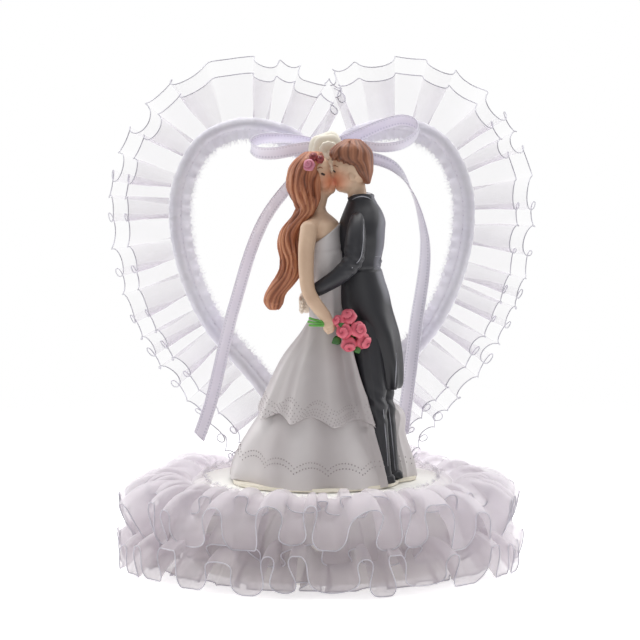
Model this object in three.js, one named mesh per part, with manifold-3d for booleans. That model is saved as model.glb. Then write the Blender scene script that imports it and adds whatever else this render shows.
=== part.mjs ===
// Wedding cake topper: a couple in front of a frilled heart, on a frilled round base.
// Millimetres, Z up, the front faces -Y, and Z = 0 is the table under the base.
import * as THREE from "three";
import { mergeVertices } from "three/addons/utils/BufferGeometryUtils.js";
import Module from "manifold-3d";

const wasm = await Module();
wasm.setup();

// Gap left between pieces that touch.
const CLEARANCE = 0.3;

// Base: an upturned plastic drum and the two frill tiers round it.
const DRUM_RADIUS = 44;
const DRUM_HEIGHT = 28;
const DRUM_WALL = 2;
const DECK_THICKNESS = 2.2;
const DECK_EDGE = 1;
const TIER_REACH = 26;
const TIER_FOLDS = 26;
const TIER_CURL = 0.3;
const TIER_BELOW_DECK = 2.4;
const TIER_ABOVE_TABLE = 11.6;
const TIER_TABLE_GAP = 0.55;
const CLOTH_THICKNESS = 0.9;

// How steeply a tier's petals leave the drum and how far they bend over, in degrees.
const UPPER_LIFTED = { rise: 60, bend: 100 };
const UPPER_DROOPING = { rise: 24, bend: 100 };
const LOWER_LIFTED = { rise: 36, bend: 85 };
const LOWER_DROOPING = { rise: 5, bend: 58 };

// How uneven the tiers are: a share, and the counts of waves round the base that it is made of.
const UNEVEN_SPACING = { share: 0.25, waves: [5, 9, 14] };
const UNEVEN_LIFT = { share: 0.25, waves: [7, 11, 17] };
const UNEVEN_REACH = { share: 0.05, waves: [8, 13, 19] };

// Heart: one bent wire in a stitched cloth sleeve, with a double frill on each side.
const HEART_Y = 24;
const HEART_HALF_WIDTH = 50.8;
const HEART_HEIGHT = 120.6;
const WIRE_DIAMETER = 2.4;
const WIRE_LEG_BELOW_DECK = 3;
const LEG_SPREAD = 7;
const LEG_FLARE = 2.2;
const LEG_BEND_HEIGHT = 9;
const SLEEVE_DIAMETER = 5.2;
const SLEEVE_CLOTH = 0.6;
const SLEEVE_FLANGE = 3.4;
const SLEEVE_SLIT = 0.4;
const FRILL_DEPTH = 20.9;
const FRILL_FRONT_DEPTH = 15.2;
const FRILL_FORWARD = 9;
const FRILL_SWING = 20;
const FRILL_FOLDS = 14;
const FRILL_LAYER_GAP = 0.6;
const FRILL_DECK_GAP = 3;

// Where its first fold is, and how unevenly the folds follow: a share of a fold, and a speed.
const FIRST_FOLD = 0.1;
const FOLD_DRIFT = { share: 0.14, speed: 20 };
const FOLD_JITTER = { share: 0.07, speed: 47 };

// Each half of the frill starts at its own distance from the cleft and leans towards it, in degrees.
const FRILL_RIGHT = { side: 1, start: 12, lean: 10 };
const FRILL_LEFT = { side: -1, start: 1, lean: 12 };
const GLUE_HALF_WIDTH = 12;
const GLUE_HALF_DEPTH = 6;
const GLUE_HEIGHT = 2.4;

// Bow: flat ribbon with a knot and a rolled rose in front of the heart's cleft.
const RIBBON_WIDTH = 6;
const RIBBON_THICKNESS = 0.5;
const KNOT_HALF_SIZE = 3.2;
const KNOT_ABOVE_CLEFT = 1.6;
const ROSE_RADIUS = 7.2;
const ROSE_DEPTH = 4.8;
const ROSE_PETALS = 5;
const ROSE_SHIFT = 2.5;

// Figurine: where it stands and how thick its foot is.
const FIGURE_Y = -6;
const PLINTH_THICKNESS = 1.2;
const PLINTH_MARGIN = 0.8;
const BLOOM_RADIUS = 2.5;
const POSY_RADIUS = 3.2;
const BUD_RADIUS = 1.5;

const DECK_TOP = DRUM_HEIGHT;
const FIGURE_FOOT = DECK_TOP + PLINTH_THICKNESS + 2 * CLEARANCE;

const paint = (color, roughness, metalness = 0) =>
  new THREE.MeshStandardMaterial({ color, roughness, metalness });
const ivoryPlastic = paint(0xf1ead9, 0.5);
const organza = paint(0xd9d3e0, 0.7);
const satin = paint(0xcfcbe0, 0.4);
const creamSatin = paint(0xf3e9d8, 0.5);
const steel = paint(0xb9bcc0, 0.35, 1);
const glue = paint(0xe9e2cc, 0.3);
const gownWhite = paint(0xf4f1ee, 0.55);
const skinTone = paint(0xe9b596, 0.6);
const auburn = paint(0x8f4a2c, 0.5);
const brown = paint(0x6b4630, 0.55);
const charcoal = paint(0x22222a, 0.5);
const shirtWhite = paint(0xf0eff2, 0.55);
const pink = paint(0xd9607c, 0.55);
const leafGreen = paint(0x4f7f45, 0.6);

const vec = (x, y, z) => new THREE.Vector3(x, y, z);

// Turns a skin right side out when its volume comes out negative.
function facingOut(geometry) {
  const spots = geometry.attributes.position;
  const index = geometry.index.array;
  const corner = [vec(0, 0, 0), vec(0, 0, 0), vec(0, 0, 0)];
  let volume = 0;
  for (let i = 0; i < index.length; i += 3) {
    corner.forEach((c, k) => c.fromBufferAttribute(spots, index[i + k]));
    volume += corner[0].dot(corner[1].clone().cross(corner[2]));
  }
  if (volume < 0) {
    for (let i = 0; i < index.length; i += 3) {
      [index[i], index[i + 1]] = [index[i + 1], index[i]];
    }
  }
  return geometry;
}

// Joins equal rings of points into one closed skin. The two end rings are filled straight
// across, unless the row of rings closes on itself. The second half of each ring is split
// along the other diagonal, so that the two faces of a thin sheet match.
function skin(rings, closed = false) {
  const count = rings[0].length;
  const faces = [];
  const quad = (a, b, c, d) => faces.push(a, b, c, a, c, d);
  const spans = closed ? rings.length : rings.length - 1;
  for (let i = 0; i < spans; i += 1) {
    const here = i * count;
    const next = ((i + 1) % rings.length) * count;
    for (let j = 0; j < count; j += 1) {
      const k = (j + 1) % count;
      if (j < count / 2) {
        quad(here + j, here + k, next + k, next + j);
      } else {
        quad(here + k, next + k, next + j, here + j);
      }
    }
  }
  if (!closed) {
    const end = (rings.length - 1) * count;
    for (let j = 0; j < count / 2 - 1; j += 1) {
      const far = count - 1 - j;
      quad(j, far, far - 1, j + 1);
      quad(end + j, end + j + 1, end + far - 1, end + far);
    }
  }
  const geometry = new THREE.BufferGeometry();
  const spots = rings.flat().flatMap((p) => [p.x, p.y, p.z]);
  geometry.setAttribute("position", new THREE.Float32BufferAttribute(spots, 3));
  geometry.setIndex(faces);
  return facingOut(geometry);
}

// A body through level oval sections, each [height, x, y, half length in x, half length in y].
// Waves, where given, push the outline in and out towards the lowest section.
function loft(sections, sides, grow = 0, waves = null) {
  const last = sections.length - 1;
  return skin(
    sections.map(([height, x, y, halfX, halfY], level) => {
      const lift = (level === last ? grow : 0) - (level === 0 ? grow : 0);
      return Array.from({ length: sides }, (_, j) => {
        const angle = (2 * Math.PI * j) / sides;
        const fade = 1 - level / last;
        const swell = waves ? waves.depth * fade * Math.cos(waves.count * angle) : 0;
        return vec(
          x + (halfX + grow + swell) * Math.cos(angle),
          y + (halfY + grow + swell) * Math.sin(angle),
          height + lift,
        );
      });
    }),
  );
}

// A round limb with rounded ends along a smooth line of joints, each [x, y, height, radius].
function limb(joints, spans, sides, grow = 0) {
  const END_SHARE = 0.62;
  const line = new THREE.CatmullRomCurve3(joints.map(([x, y, z]) => vec(x, y, z)));
  const last = joints.length - 1;
  const ring = (t, shift, share) => {
    const place = Math.min(Math.floor(t * last), last - 1);
    const radius = THREE.MathUtils.lerp(joints[place][3], joints[place + 1][3], t * last - place);
    const along = line.getTangent(t);
    const side = vec(0, 1, 0).cross(along).normalize();
    const up = along.clone().cross(side);
    const centre = line.getPoint(t).addScaledVector(along, shift * (radius * END_SHARE + grow));
    const reach = radius * share + grow;
    return Array.from({ length: sides }, (_, j) => {
      const angle = (2 * Math.PI * j) / sides;
      return centre
        .clone()
        .addScaledVector(side, reach * Math.cos(angle))
        .addScaledVector(up, reach * Math.sin(angle));
    });
  };
  const middle = Array.from({ length: spans + 1 }, (_, i) => ring(i / spans, 0, 1));
  return skin([ring(0, -1, END_SHARE), ...middle, ring(1, 1, END_SHARE)]);
}

// An oval ball at [x, y, height].
function ball([x, y, z], [halfX, halfY, halfZ], grow = 0, sides = 10) {
  const geometry = new THREE.SphereGeometry(1, sides, Math.ceil(sides / 2) + 1);
  geometry.rotateX(Math.PI / 2);
  geometry.scale(halfX + grow, halfY + grow, halfZ + grow);
  geometry.translate(x, y, z);
  return geometry;
}

// Booleans work on closed solids, and their result goes back to a plain geometry.
function solid(geometry) {
  const bare = geometry.clone();
  bare.deleteAttribute("normal");
  bare.deleteAttribute("uv");
  const joined = mergeVertices(bare, 1e-4);
  return new wasm.Manifold(
    new wasm.Mesh({
      numProp: 3,
      vertProperties: Float32Array.from(joined.attributes.position.array),
      triVerts: Uint32Array.from(joined.index.array),
    }),
  );
}

function surface(body) {
  const mesh = body.getMesh();
  const geometry = new THREE.BufferGeometry();
  geometry.setAttribute("position", new THREE.BufferAttribute(mesh.vertProperties, 3));
  geometry.setIndex(new THREE.BufferAttribute(mesh.triVerts, 1));
  return geometry;
}

function mainBody(body) {
  return body.decompose().sort((a, b) => b.volume() - a.volume())[0];
}

const topper = new THREE.Group();
topper.name = "wedding_cake_topper";

function addPiece(group, name, geometry, finish) {
  const bare = geometry.clone();
  bare.deleteAttribute("uv");
  bare.computeVertexNormals();
  const mesh = new THREE.Mesh(bare, finish);
  mesh.name = name;
  group.add(mesh);
}

// Adds pieces that are packed together. Each is [name, finish, shape], where shape(grow) is
// the body with that much added all round. A later piece gives way to the earlier ones.
function addPacked(group, pieces) {
  const placed = [];
  pieces.forEach(([name, finish, shape]) => {
    const raw = shape(0);
    raw.computeBoundingBox();
    let body = solid(raw);
    placed
      .filter((other) => other.box.intersectsBox(raw.boundingBox))
      .forEach((other) => {
        body = body.subtract(other.body);
      });
    const swollen = shape(CLEARANCE);
    swollen.computeBoundingBox();
    placed.push({ body: solid(swollen), box: swollen.boundingBox });
    addPiece(group, name, surface(mainBody(body)), finish);
  });
}

// The right half of the heart from the cleft to its leg, as shares of half width and height.
const heartHalf = [
  [0, 0.916],
  [0.235, 0.977],
  [0.55, 1],
  [0.81, 0.954],
  [0.965, 0.845],
  [1, 0.736],
  [0.945, 0.586],
  [0.78, 0.427],
  [0.42, 0.243],
].map(([across, up]) => vec(across * HEART_HALF_WIDTH, HEART_Y, DECK_TOP + up * HEART_HEIGHT));
const legFoot = DECK_TOP - DECK_THICKNESS - WIRE_LEG_BELOW_DECK;
heartHalf.push(vec(LEG_SPREAD + LEG_FLARE, HEART_Y, DECK_TOP + LEG_BEND_HEIGHT));
heartHalf.push(vec(LEG_SPREAD, HEART_Y, legFoot));
const mirrored = ({ x, y, z }) => vec(-x, y, z);
const heartLine = new THREE.CatmullRomCurve3([
  ...heartHalf.slice(1).reverse().map(mirrored),
  ...heartHalf,
]);
heartLine.arcLengthDivisions = 800;

// The share of the heart line, on its right half, where a test first holds.
function shareWhere(test) {
  const STEPS = 800;
  let step = STEPS / 2;
  while (step < STEPS && !test(heartLine.getPointAt(step / STEPS))) {
    step += 1;
  }
  return step / STEPS;
}

function outward(share) {
  const along = heartLine.getTangentAt(share);
  return vec(-along.z, 0, along.x);
}

// Sweeps a section of [outward, back] points along the heart line.
function alongHeart(section, from, to, spans) {
  return skin(
    Array.from({ length: spans + 1 }, (_, i) => {
      const share = from + ((to - from) * i) / spans;
      const centre = heartLine.getPointAt(share);
      const out = outward(share);
      return section.map(([reach, back]) =>
        centre.clone().addScaledVector(out, reach).add(vec(0, back, 0)),
      );
    }),
  );
}

function wireShape(grow) {
  const SIDES = 6;
  const SPANS = 64;
  const radius = WIRE_DIAMETER / 2 + grow;
  const section = Array.from({ length: SIDES }, (_, j) => {
    const angle = (2 * Math.PI * j) / SIDES;
    return [radius * Math.cos(angle), radius * Math.sin(angle)];
  });
  return alongHeart(section, 0, 1, SPANS);
}

// The sleeve is wrapped round the wire, and its two raw edges stand inwards side by side.
function sleeveSection() {
  const ARC_POINTS = 5;
  const bore = SLEEVE_DIAMETER / 2 - SLEEVE_CLOTH;
  const tip = -(SLEEVE_DIAMETER / 2 + SLEEVE_FLANGE);
  const slit = SLEEVE_SLIT / 2;
  const lip = slit + SLEEVE_CLOTH;
  const arc = (radius, height) => {
    const start = Math.asin(height / radius);
    return Array.from({ length: ARC_POINTS }, (_, i) => {
      const angle = start + (i / (ARC_POINTS - 1)) * 2 * (Math.PI - start);
      return [-radius * Math.cos(angle), radius * Math.sin(angle)];
    });
  };
  return [
    [tip, lip],
    ...arc(SLEEVE_DIAMETER / 2, lip),
    [tip, -lip],
    [tip, -slit],
    ...arc(bore, slit).reverse(),
    [tip, slit],
  ];
}

// A frill is a cloth strip whose gathered edge is straight and whose hem swings to and fro.
// middle(t, d) is a point of it at the distance d from the gathers, and rows are the distances
// where the cloth has a row of points. Its thickness and its lift run along through(t, d).
function frill(middle, through, rows, spans, lift, closed) {
  const half = CLOTH_THICKNESS / 2;
  const count = closed ? spans : spans + 1;
  return skin(
    Array.from({ length: count }, (_, i) => {
      const t = i / spans;
      const face = (offset) => rows.map((d) => middle(t, d).addScaledVector(through(t, d), offset));
      return [...face(lift + half), ...face(lift - half).reverse()];
    }),
    closed,
  );
}

// An uneven wave round a ring, about as large as its share, that closes on itself.
function wander(t, { share, waves }, kind) {
  const SHIFT = 0.618;
  const sum = waves.reduce((total, k) => total + Math.sin(2 * Math.PI * k * (t + SHIFT * kind)), 0);
  return (share * sum) / Math.sqrt(waves.length);
}

// A tier of petals that leave the drum at an angle and bend over. Lifted and drooping petals
// take turns, and kind makes one tier's unevenness differ from the other's.
function baseTier(height, kind, lifted, drooping) {
  const STEPS_PER_FOLD = 5;
  const ROWS = 3;
  const MEAN_LIFT = 0.95;
  const NEAR = 1e-3;
  const half = CLOTH_THICKNESS / 2;
  const steepest = THREE.MathUtils.degToRad(lifted.rise);
  const inner = DRUM_RADIUS + CLEARANCE + half * Math.sin(steepest);
  const middle = (t, d) => {
    const open = d / TIER_REACH;
    const turn = 2 * Math.PI * (TIER_FOLDS * t + wander(t, UNEVEN_SPACING, kind));
    const sway = Math.sin(turn) * (MEAN_LIFT + wander(t, UNEVEN_LIFT, kind));
    const share = THREE.MathUtils.clamp((1 + sway) / 2, 0, 1);
    const foot = THREE.MathUtils.degToRad(THREE.MathUtils.lerp(drooping.rise, lifted.rise, share));
    const bend = THREE.MathUtils.degToRad(THREE.MathUtils.lerp(drooping.bend, lifted.bend, share));
    const round = (TIER_REACH / bend) * (1 + wander(t, UNEVEN_REACH, kind));
    const here = foot - bend * open;
    const reach = inner + round * (Math.sin(foot) - Math.sin(here));
    const rise = round * (Math.cos(here) - Math.cos(foot));
    const angle = 2 * Math.PI * t - (open * TIER_CURL * Math.sin(2 * turn)) / TIER_FOLDS;
    const lowest = TIER_TABLE_GAP + half;
    return vec(reach * Math.cos(angle), reach * Math.sin(angle), Math.max(height + rise, lowest));
  };
  const through = (t, d) => {
    const along = middle(t + NEAR, d).sub(middle(t - NEAR, d));
    const across = middle(t, d + NEAR).sub(middle(t, d));
    return across.cross(along).normalize();
  };
  const rows = Array.from({ length: ROWS + 1 }, (_, i) => (i / ROWS) * TIER_REACH);
  return frill(middle, through, rows, TIER_FOLDS * STEPS_PER_FOLD, 0, true);
}

// One half of the heart's frill. Its folds swing forward and back, and near the deck its hem
// is turned up so that it clears the base.
function heartFrill(rows, lift, { side, start, lean }) {
  const STEPS_PER_FOLD = 6;
  const STIFF_FOOT = 0.3;
  const seat = SLEEVE_DIAMETER / 2 + CLEARANCE;
  const from = 0.5 + start / heartLine.getLength();
  const to = shareWhere((p) => p.z < DECK_TOP + LEG_BEND_HEIGHT);
  const steepest = Math.PI / 2 + THREE.MathUtils.degToRad(lean);
  const middle = (t, d) => {
    const share = from + (to - from) * t;
    const out = outward(share);
    const angle = Math.min(Math.atan2(out.z, out.x), steepest);
    const drift = FOLD_DRIFT.share * Math.sin(FOLD_DRIFT.speed * t + side);
    const jitter = FOLD_JITTER.share * Math.sin(FOLD_JITTER.speed * t);
    const turn = 2 * Math.PI * (FRILL_FOLDS * t + FIRST_FOLD + drift + jitter);
    const open = d / FRILL_DEPTH;
    const degrees = (FRILL_FORWARD + FRILL_SWING * Math.sin(turn)) * Math.min(1, STIFF_FOOT + open);
    const swing = THREE.MathUtils.degToRad(degrees);
    const reach = seat + d * Math.cos(swing);
    const spot = vec(reach * Math.cos(angle), -d * Math.sin(swing), reach * Math.sin(angle));
    spot.add(heartLine.getPointAt(share));
    spot.z = Math.max(spot.z, DECK_TOP + FRILL_DECK_GAP + seat * (1 - open));
    return spot;
  };
  const forward = () => vec(0, -1, 0);
  const geometry = frill(middle, forward, rows, FRILL_FOLDS * STEPS_PER_FOLD, lift, false);
  geometry.scale(side, 1, 1);
  return facingOut(geometry);
}

// A flat ribbon along [x, y, z] points, whose width lies as near to the wide direction as it can.
function ribbon(points, spans, wide, grow = 0) {
  const line = new THREE.CatmullRomCurve3(points.map(([x, y, z]) => vec(x, y, z)));
  const halfWidth = RIBBON_WIDTH / 2 + grow;
  const halfThickness = RIBBON_THICKNESS / 2 + grow;
  return skin(
    Array.from({ length: spans + 1 }, (_, i) => {
      const centre = line.getPointAt(i / spans);
      const along = line.getTangentAt(i / spans);
      const face = wide.clone().cross(along).normalize();
      const edge = along.clone().cross(face);
      return [[1, 1], [1, -1], [-1, -1], [-1, 1]].map(([a, b]) =>
        centre
          .clone()
          .addScaledVector(edge, a * halfWidth)
          .addScaledVector(face, b * halfThickness),
      );
    }),
  );
}

// A rolled rose: a domed body whose outline turns in lobes from ring to ring.
function rolledRose(radius, depth, petals, sides) {
  const TWIST = 0.5;
  const LOBE = 0.07;
  const levels = [
    [0, 0.62],
    [0.25, 0.95],
    [0.55, 0.86],
    [0.8, 0.6],
    [1, 0.26],
  ];
  return skin(
    levels.map(([up, wide], level) =>
      Array.from({ length: sides }, (_, j) => {
        const angle = (2 * Math.PI * j) / sides;
        const lobe = 1 + LOBE * Math.cos(petals * angle + level * TWIST * Math.PI);
        const reach = radius * wide * lobe;
        return vec(reach * Math.cos(angle), -up * depth, reach * Math.sin(angle));
      }),
    ),
  );
}

// Base.
const drumProfile = [
  [DRUM_RADIUS - DRUM_WALL, 0],
  [DRUM_RADIUS, 0],
  [DRUM_RADIUS, DECK_TOP - DECK_EDGE],
  [DRUM_RADIUS - DECK_EDGE, DECK_TOP],
  [0, DECK_TOP],
  [0, DECK_TOP - DECK_THICKNESS],
  [DRUM_RADIUS - DRUM_WALL, DECK_TOP - DECK_THICKNESS],
  [DRUM_RADIUS - DRUM_WALL, 0],
].map(([radius, height]) => new THREE.Vector2(radius, height));
const drumTurned = new THREE.LatheGeometry(drumProfile, 48);
drumTurned.rotateX(Math.PI / 2);
const drum = solid(drumTurned).subtract(solid(wireShape(CLEARANCE)));
addPiece(topper, "base_drum", surface(drum), ivoryPlastic);
const upperTier = baseTier(DECK_TOP - TIER_BELOW_DECK, 1, UPPER_LIFTED, UPPER_DROOPING);
const lowerTier = baseTier(TIER_ABOVE_TABLE, 3, LOWER_LIFTED, LOWER_DROOPING);
addPiece(topper, "base_frill_upper", upperTier, organza);
addPiece(topper, "base_frill_lower", lowerTier, organza);

// Heart.
addPiece(topper, "heart_wire", wireShape(0), steel);
const sleeveEnd = shareWhere((p) => p.z < DECK_TOP + SLEEVE_DIAMETER / 2 + CLEARANCE);
const sleeveStart = 0.5 + CLEARANCE / (2 * heartLine.getLength());
const sleeveSpans = 24;
const sleeveRight = alongHeart(sleeveSection(), sleeveStart, sleeveEnd, sleeveSpans);
addPiece(topper, "heart_sleeve_right", sleeveRight, organza);
const sleeveLeft = facingOut(sleeveRight.clone().scale(-1, 1, 1));
addPiece(topper, "heart_sleeve_left", sleeveLeft, organza);
const layerLift = (CLOTH_THICKNESS + FRILL_LAYER_GAP) / 2;
[["right", FRILL_RIGHT], ["left", FRILL_LEFT]].forEach(([name, half]) => {
  const back = heartFrill([0, FRILL_FRONT_DEPTH, FRILL_DEPTH], -layerLift, half);
  const front = heartFrill([0, FRILL_FRONT_DEPTH], layerLift, half);
  addPiece(topper, `heart_frill_back_${name}`, back, organza);
  addPiece(topper, `heart_frill_front_${name}`, front, organza);
});
const glueTop = DECK_TOP - DECK_THICKNESS - CLEARANCE;
const glueSections = [
  [glueTop - GLUE_HEIGHT, 0, HEART_Y, GLUE_HALF_WIDTH - GLUE_HEIGHT, GLUE_HALF_DEPTH - GLUE_HEIGHT],
  [glueTop, 0, HEART_Y, GLUE_HALF_WIDTH, GLUE_HALF_DEPTH],
];
const glueBody = solid(loft(glueSections, 16)).subtract(solid(wireShape(CLEARANCE)));
addPiece(topper, "wire_glue", surface(mainBody(glueBody)), glue);

// Bow in front of the cleft.
const knotY = HEART_Y - SLEEVE_DIAMETER / 2 - CLEARANCE - KNOT_HALF_SIZE;
const knotHeight = heartHalf[0].z + KNOT_ABOVE_CLEFT;
const roseBack = knotY - KNOT_HALF_SIZE - CLEARANCE;
const leaning = vec(0, 0.35, 1);
const across = vec(1, 0, 0.1);
const loopLeft = [
  [-1, 0, 0],
  [-12, 1, 4.6],
  [-22, 0.5, 4.4],
  [-26, -2, 1.4],
  [-21, -4.5, -1.8],
  [-10, -4, -2],
  [-1, -2, -0.5],
].map(([x, y, z]) => [x, knotY + y, knotHeight + z]);
const loopRight = [
  [1, 0, 0],
  [12, 1, 7.4],
  [24, 0.5, 10],
  [31, -2, 6.4],
  [26, -4.5, 1.4],
  [12, -4, -0.8],
  [1, -2, -0.5],
].map(([x, y, z]) => [x, knotY + y, knotHeight + z]);
const tailLeft = [
  [-2, -1, -2],
  [-19.6, -3, -23.5],
  [-30, -4, -53],
  [-38.6, -5, -87.7],
  [-42.5, -5.5, -99],
].map(([x, y, z]) => [x, knotY + y, knotHeight + z]);
const tailRight = [
  [2, -1, -1],
  [25.2, -2.5, -6.2],
  [35.1, -3.5, -28.7],
  [32, -4.5, -63.4],
  [27.9, -5, -96.5],
].map(([x, y, z]) => [x, knotY + y, knotHeight + z]);
const knotSize = [KNOT_HALF_SIZE, KNOT_HALF_SIZE, KNOT_HALF_SIZE];
const ribbonSpans = 16;
const roseSides = 20;
function roseShape(grow) {
  const rose = rolledRose(ROSE_RADIUS + grow, ROSE_DEPTH + 2 * grow, ROSE_PETALS, roseSides);
  rose.translate(ROSE_SHIFT, roseBack + grow, knotHeight - ROSE_SHIFT);
  return rose;
}
addPacked(topper, [
  ["bow_knot", satin, (grow) => ball([0, knotY, knotHeight], knotSize, grow)],
  ["ribbon_rose", creamSatin, roseShape],
  ["bow_loop_left", satin, (grow) => ribbon(loopLeft, ribbonSpans, leaning, grow)],
  ["bow_loop_right", satin, (grow) => ribbon(loopRight, ribbonSpans, leaning, grow)],
  ["bow_tail_left", satin, (grow) => ribbon(tailLeft, ribbonSpans, across, grow)],
  ["bow_tail_right", satin, (grow) => ribbon(tailRight, ribbonSpans, across, grow)],
]);

// Figurine, measured from its own foot.
const figure = new THREE.Group();
figure.name = "couple";
figure.position.set(0, FIGURE_Y, FIGURE_FOOT);
topper.add(figure);

const underskirt = [
  [0, -2, 0, 27.5, 22],
  [2, -2.2, 0, 27.6, 22.2],
  [8, -2.4, 0, 25.4, 20.6],
  [16, -2.6, 0, 21.8, 18.2],
  [28, -2, 0, 15, 13.5],
];
const train = [
  [0, 7, 8, 24.5, 13.5],
  [2, 7, 8, 24.6, 13.6],
  [14, 6.6, 7, 21.4, 12],
  [24, 6.2, 6, 19.4, 10.8],
  [27, 5.4, 5.4, 18.2, 10.4],
  [29.6, 3.6, 4, 15, 9.6],
];
const overskirt = [
  [19, -2.4, 0, 20.6, 18],
  [22, -2.2, 0, 19.6, 17.2],
  [31, -1.4, 0, 15.2, 14],
  [42, -0.2, 0, 11, 11],
  [50, 1.4, 0, 7.6, 8.2],
  [54.3, 1.8, 0, 5.8, 6.8],
];
const bodice = [
  [54.6, 1.8, 0, 5.8, 6.8],
  [58, 1.8, 0, 5.6, 6.5],
  [66, 1.4, 0, 6, 7.5],
  [74, 1.4, 0, 6.6, 8.6],
  [80.5, 0.8, 0, 5.8, 8.8],
];
const shoulders = [
  [80.8, 0.8, 0, 5.6, 8.8],
  [84, 0.3, 0, 5, 10],
  [86.5, -0.2, 0, 4.2, 8.2],
  [88.6, 0, 0, 2.8, 3.6],
  [92, 0.2, 0, 2.4, 2.6],
  [97, 0.6, 0, 2.4, 2.6],
];
const brideHead = [
  [95.4, 2, 0, 1.5, 1.7],
  [97, 1.4, 0, 3.3, 3.5],
  [99.6, 0.2, 0, 4.7, 4.8],
  [103, -0.8, 0, 5.6, 5.7],
  [106, -1.2, 0, 5.6, 5.7],
  [108.4, -1.6, 0, 4.3, 4.3],
  [109.6, -1.8, 0, 1.7, 1.7],
];
const brideHair = [
  [58.2, -16.2, -2, 2.2, 2.4],
  [59.6, -16.3, -2, 3.1, 3.2],
  [62.6, -15.8, -2, 3.5, 3.8],
  [66, -13.5, -2, 4, 4.5],
  [69, -11.4, -2, 4.1, 5],
  [74, -10, -2, 3.8, 5.3],
  [80, -10.9, -2, 3.7, 5.7],
  [84, -10.9, -1.5, 3, 5.7],
  [87.5, -8.6, -1, 3, 5.5],
  [91, -5.8, -0.4, 3, 5.3],
  [94.5, -5.5, 0, 4.5, 5.8],
  [98, -6.3, 0, 5.4, 6.5],
  [102, -6.5, 0, 5.5, 6.9],
  [105.5, -5.5, 0, 5.6, 6.9],
  [108.4, -3.9, 0, 4.8, 6],
  [110.6, -3, 0, 2.6, 3.2],
];
const brideNearArm = [
  [-4.6, -9, 85, 2.9],
  [-5.2, -11, 79, 2.7],
  [-5.2, -12.2, 70, 2.45],
  [-4.4, -13, 64.6, 2.3],
  [-2, -13.6, 60.4, 2.2],
  [1, -13.8, 56.6, 2],
  [2.4, -14.2, 53.6, 2.2],
];
const groomHead = [
  [95.8, 8.8, 0, 1.8, 2],
  [97.6, 9.4, 0, 3.9, 3.9],
  [100.6, 10.6, 0, 5.3, 5.2],
  [104, 11, 0, 5.9, 5.9],
  [107.6, 11.2, 0, 5.9, 5.9],
  [110.6, 11.2, 0, 4.2, 4.2],
  [111.8, 11.2, 0, 1.6, 1.6],
];
const groomNeck = [
  [88.4, 13, 0, 2.9, 3.1],
  [100, 12.2, 0, 2.9, 3.1],
];
const groomHair = [
  [100, 15.2, 0, 1, 3],
  [102, 14.6, 0, 2.2, 5],
  [104.4, 13.5, 0, 3.8, 6.2],
  [106.4, 12.4, 0, 4.8, 6.6],
  [108.4, 10.4, 0, 6.8, 6.8],
  [110.8, 9.8, 0, 7, 6.8],
  [113, 9.8, 0, 5.4, 5.4],
  [114.6, 10, 0, 2.8, 3],
];
const collar = [
  [90.2, 13, 0, 4.6, 5],
  [93.4, 13, 0, 3.8, 4.2],
];
const jacket = [
  [30.8, 23.3, 0, 3.2, 6.4],
  [34, 23.2, 0, 4, 8],
  [38.4, 22.5, 0, 4.8, 8.8],
  [44, 21.1, 0, 5.8, 9.4],
  [50, 19.2, 0, 6.8, 9.8],
  [54, 17.2, 0, 7.6, 9.8],
  [58, 15, 0, 8.7, 9.8],
  [63, 14.1, 0, 8.6, 9.5],
  [68, 13.2, 0, 7.9, 9.1],
  [72.7, 12.6, 0, 7.4, 9],
  [79.6, 13, 0, 8, 10],
  [84.3, 13.3, 0, 8, 10.8],
  [87.4, 13.6, 0, 7.5, 9.8],
  [90.5, 13.5, 0, 6.1, 7.6],
  [93, 13.3, 0, 4.9, 5.8],
];
const nearSleeve = [
  [11.6, -7, 88.2, 2.9],
  [11.3, -9.6, 85.4, 3.4],
  [11.1, -11.4, 80.5, 3.5],
  [10.4, -12.8, 75.2, 3.35],
  [5.6, -12.6, 69.9, 2.95],
  [1.2, -11.6, 66.9, 2.6],
  [-1.4, -10.8, 65.3, 2.35],
];
const farSleeve = [
  [13.4, 10.2, 85.6, 3.6],
  [14.2, 12.4, 77, 3.3],
  [11, 12.8, 70, 3],
  [4, 11.4, 65, 2.8],
  [-1.6, 8.6, 61.4, 2.6],
];
const farHand = [-5.7, 3.4, 59.4];
const brideFarArm = [
  [-3.2, 9.6, 84.4, 2.8],
  [-0.6, 13, 78, 2.5],
  [5, 15.6, 75, 2.1],
  [10.6, 16.8, 77, 1.7],
  [13.4, 16.6, 79, 2],
];
const nearLeg = [
  [15.6, -4.8, 50, 5],
  [17.4, -6.6, 38, 4.5],
  [18.9, -8.2, 27, 3.8],
  [21.6, -10.8, 3, 2.5],
];
const farLeg = [
  [18.4, 4.6, 50, 4.6],
  [21.9, 1.4, 27, 3.4],
  [24.6, -2, 3, 2.3],
];
const nearShoe = [22.4, -11.8, 1.5];
const farShoe = [25.4, -2.6, 1.5];
const shoeSize = [3.6, 2.3, 1.5];
const posy = [9.4, -12.4, 51.6];
const blooms = [
  [8.8, -14.6, 56.2],
  [12, -15.4, 52.2],
  [7.4, -15.9, 51.8],
  [13.7, -14, 48.2],
  [8.9, -15.2, 47.4],
  [5.7, -15.4, 55],
];
const leaves = [
  [4.8, -14.4, 48.8],
  [11.6, -14.6, 45.6],
  [6.8, -16.6, 54],
];
const leafSize = [2.4, 1.2, 1.4];
const stems = [
  [0.6, -14.4, 54.3, 1.2],
  [-3.6, -15, 55, 1.4],
];
const buds = [
  [-4.3, -6.9, 106.5],
  [-2.8, -5.4, 109.2],
  [-0.7, -5.6, 108.2],
];

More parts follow.
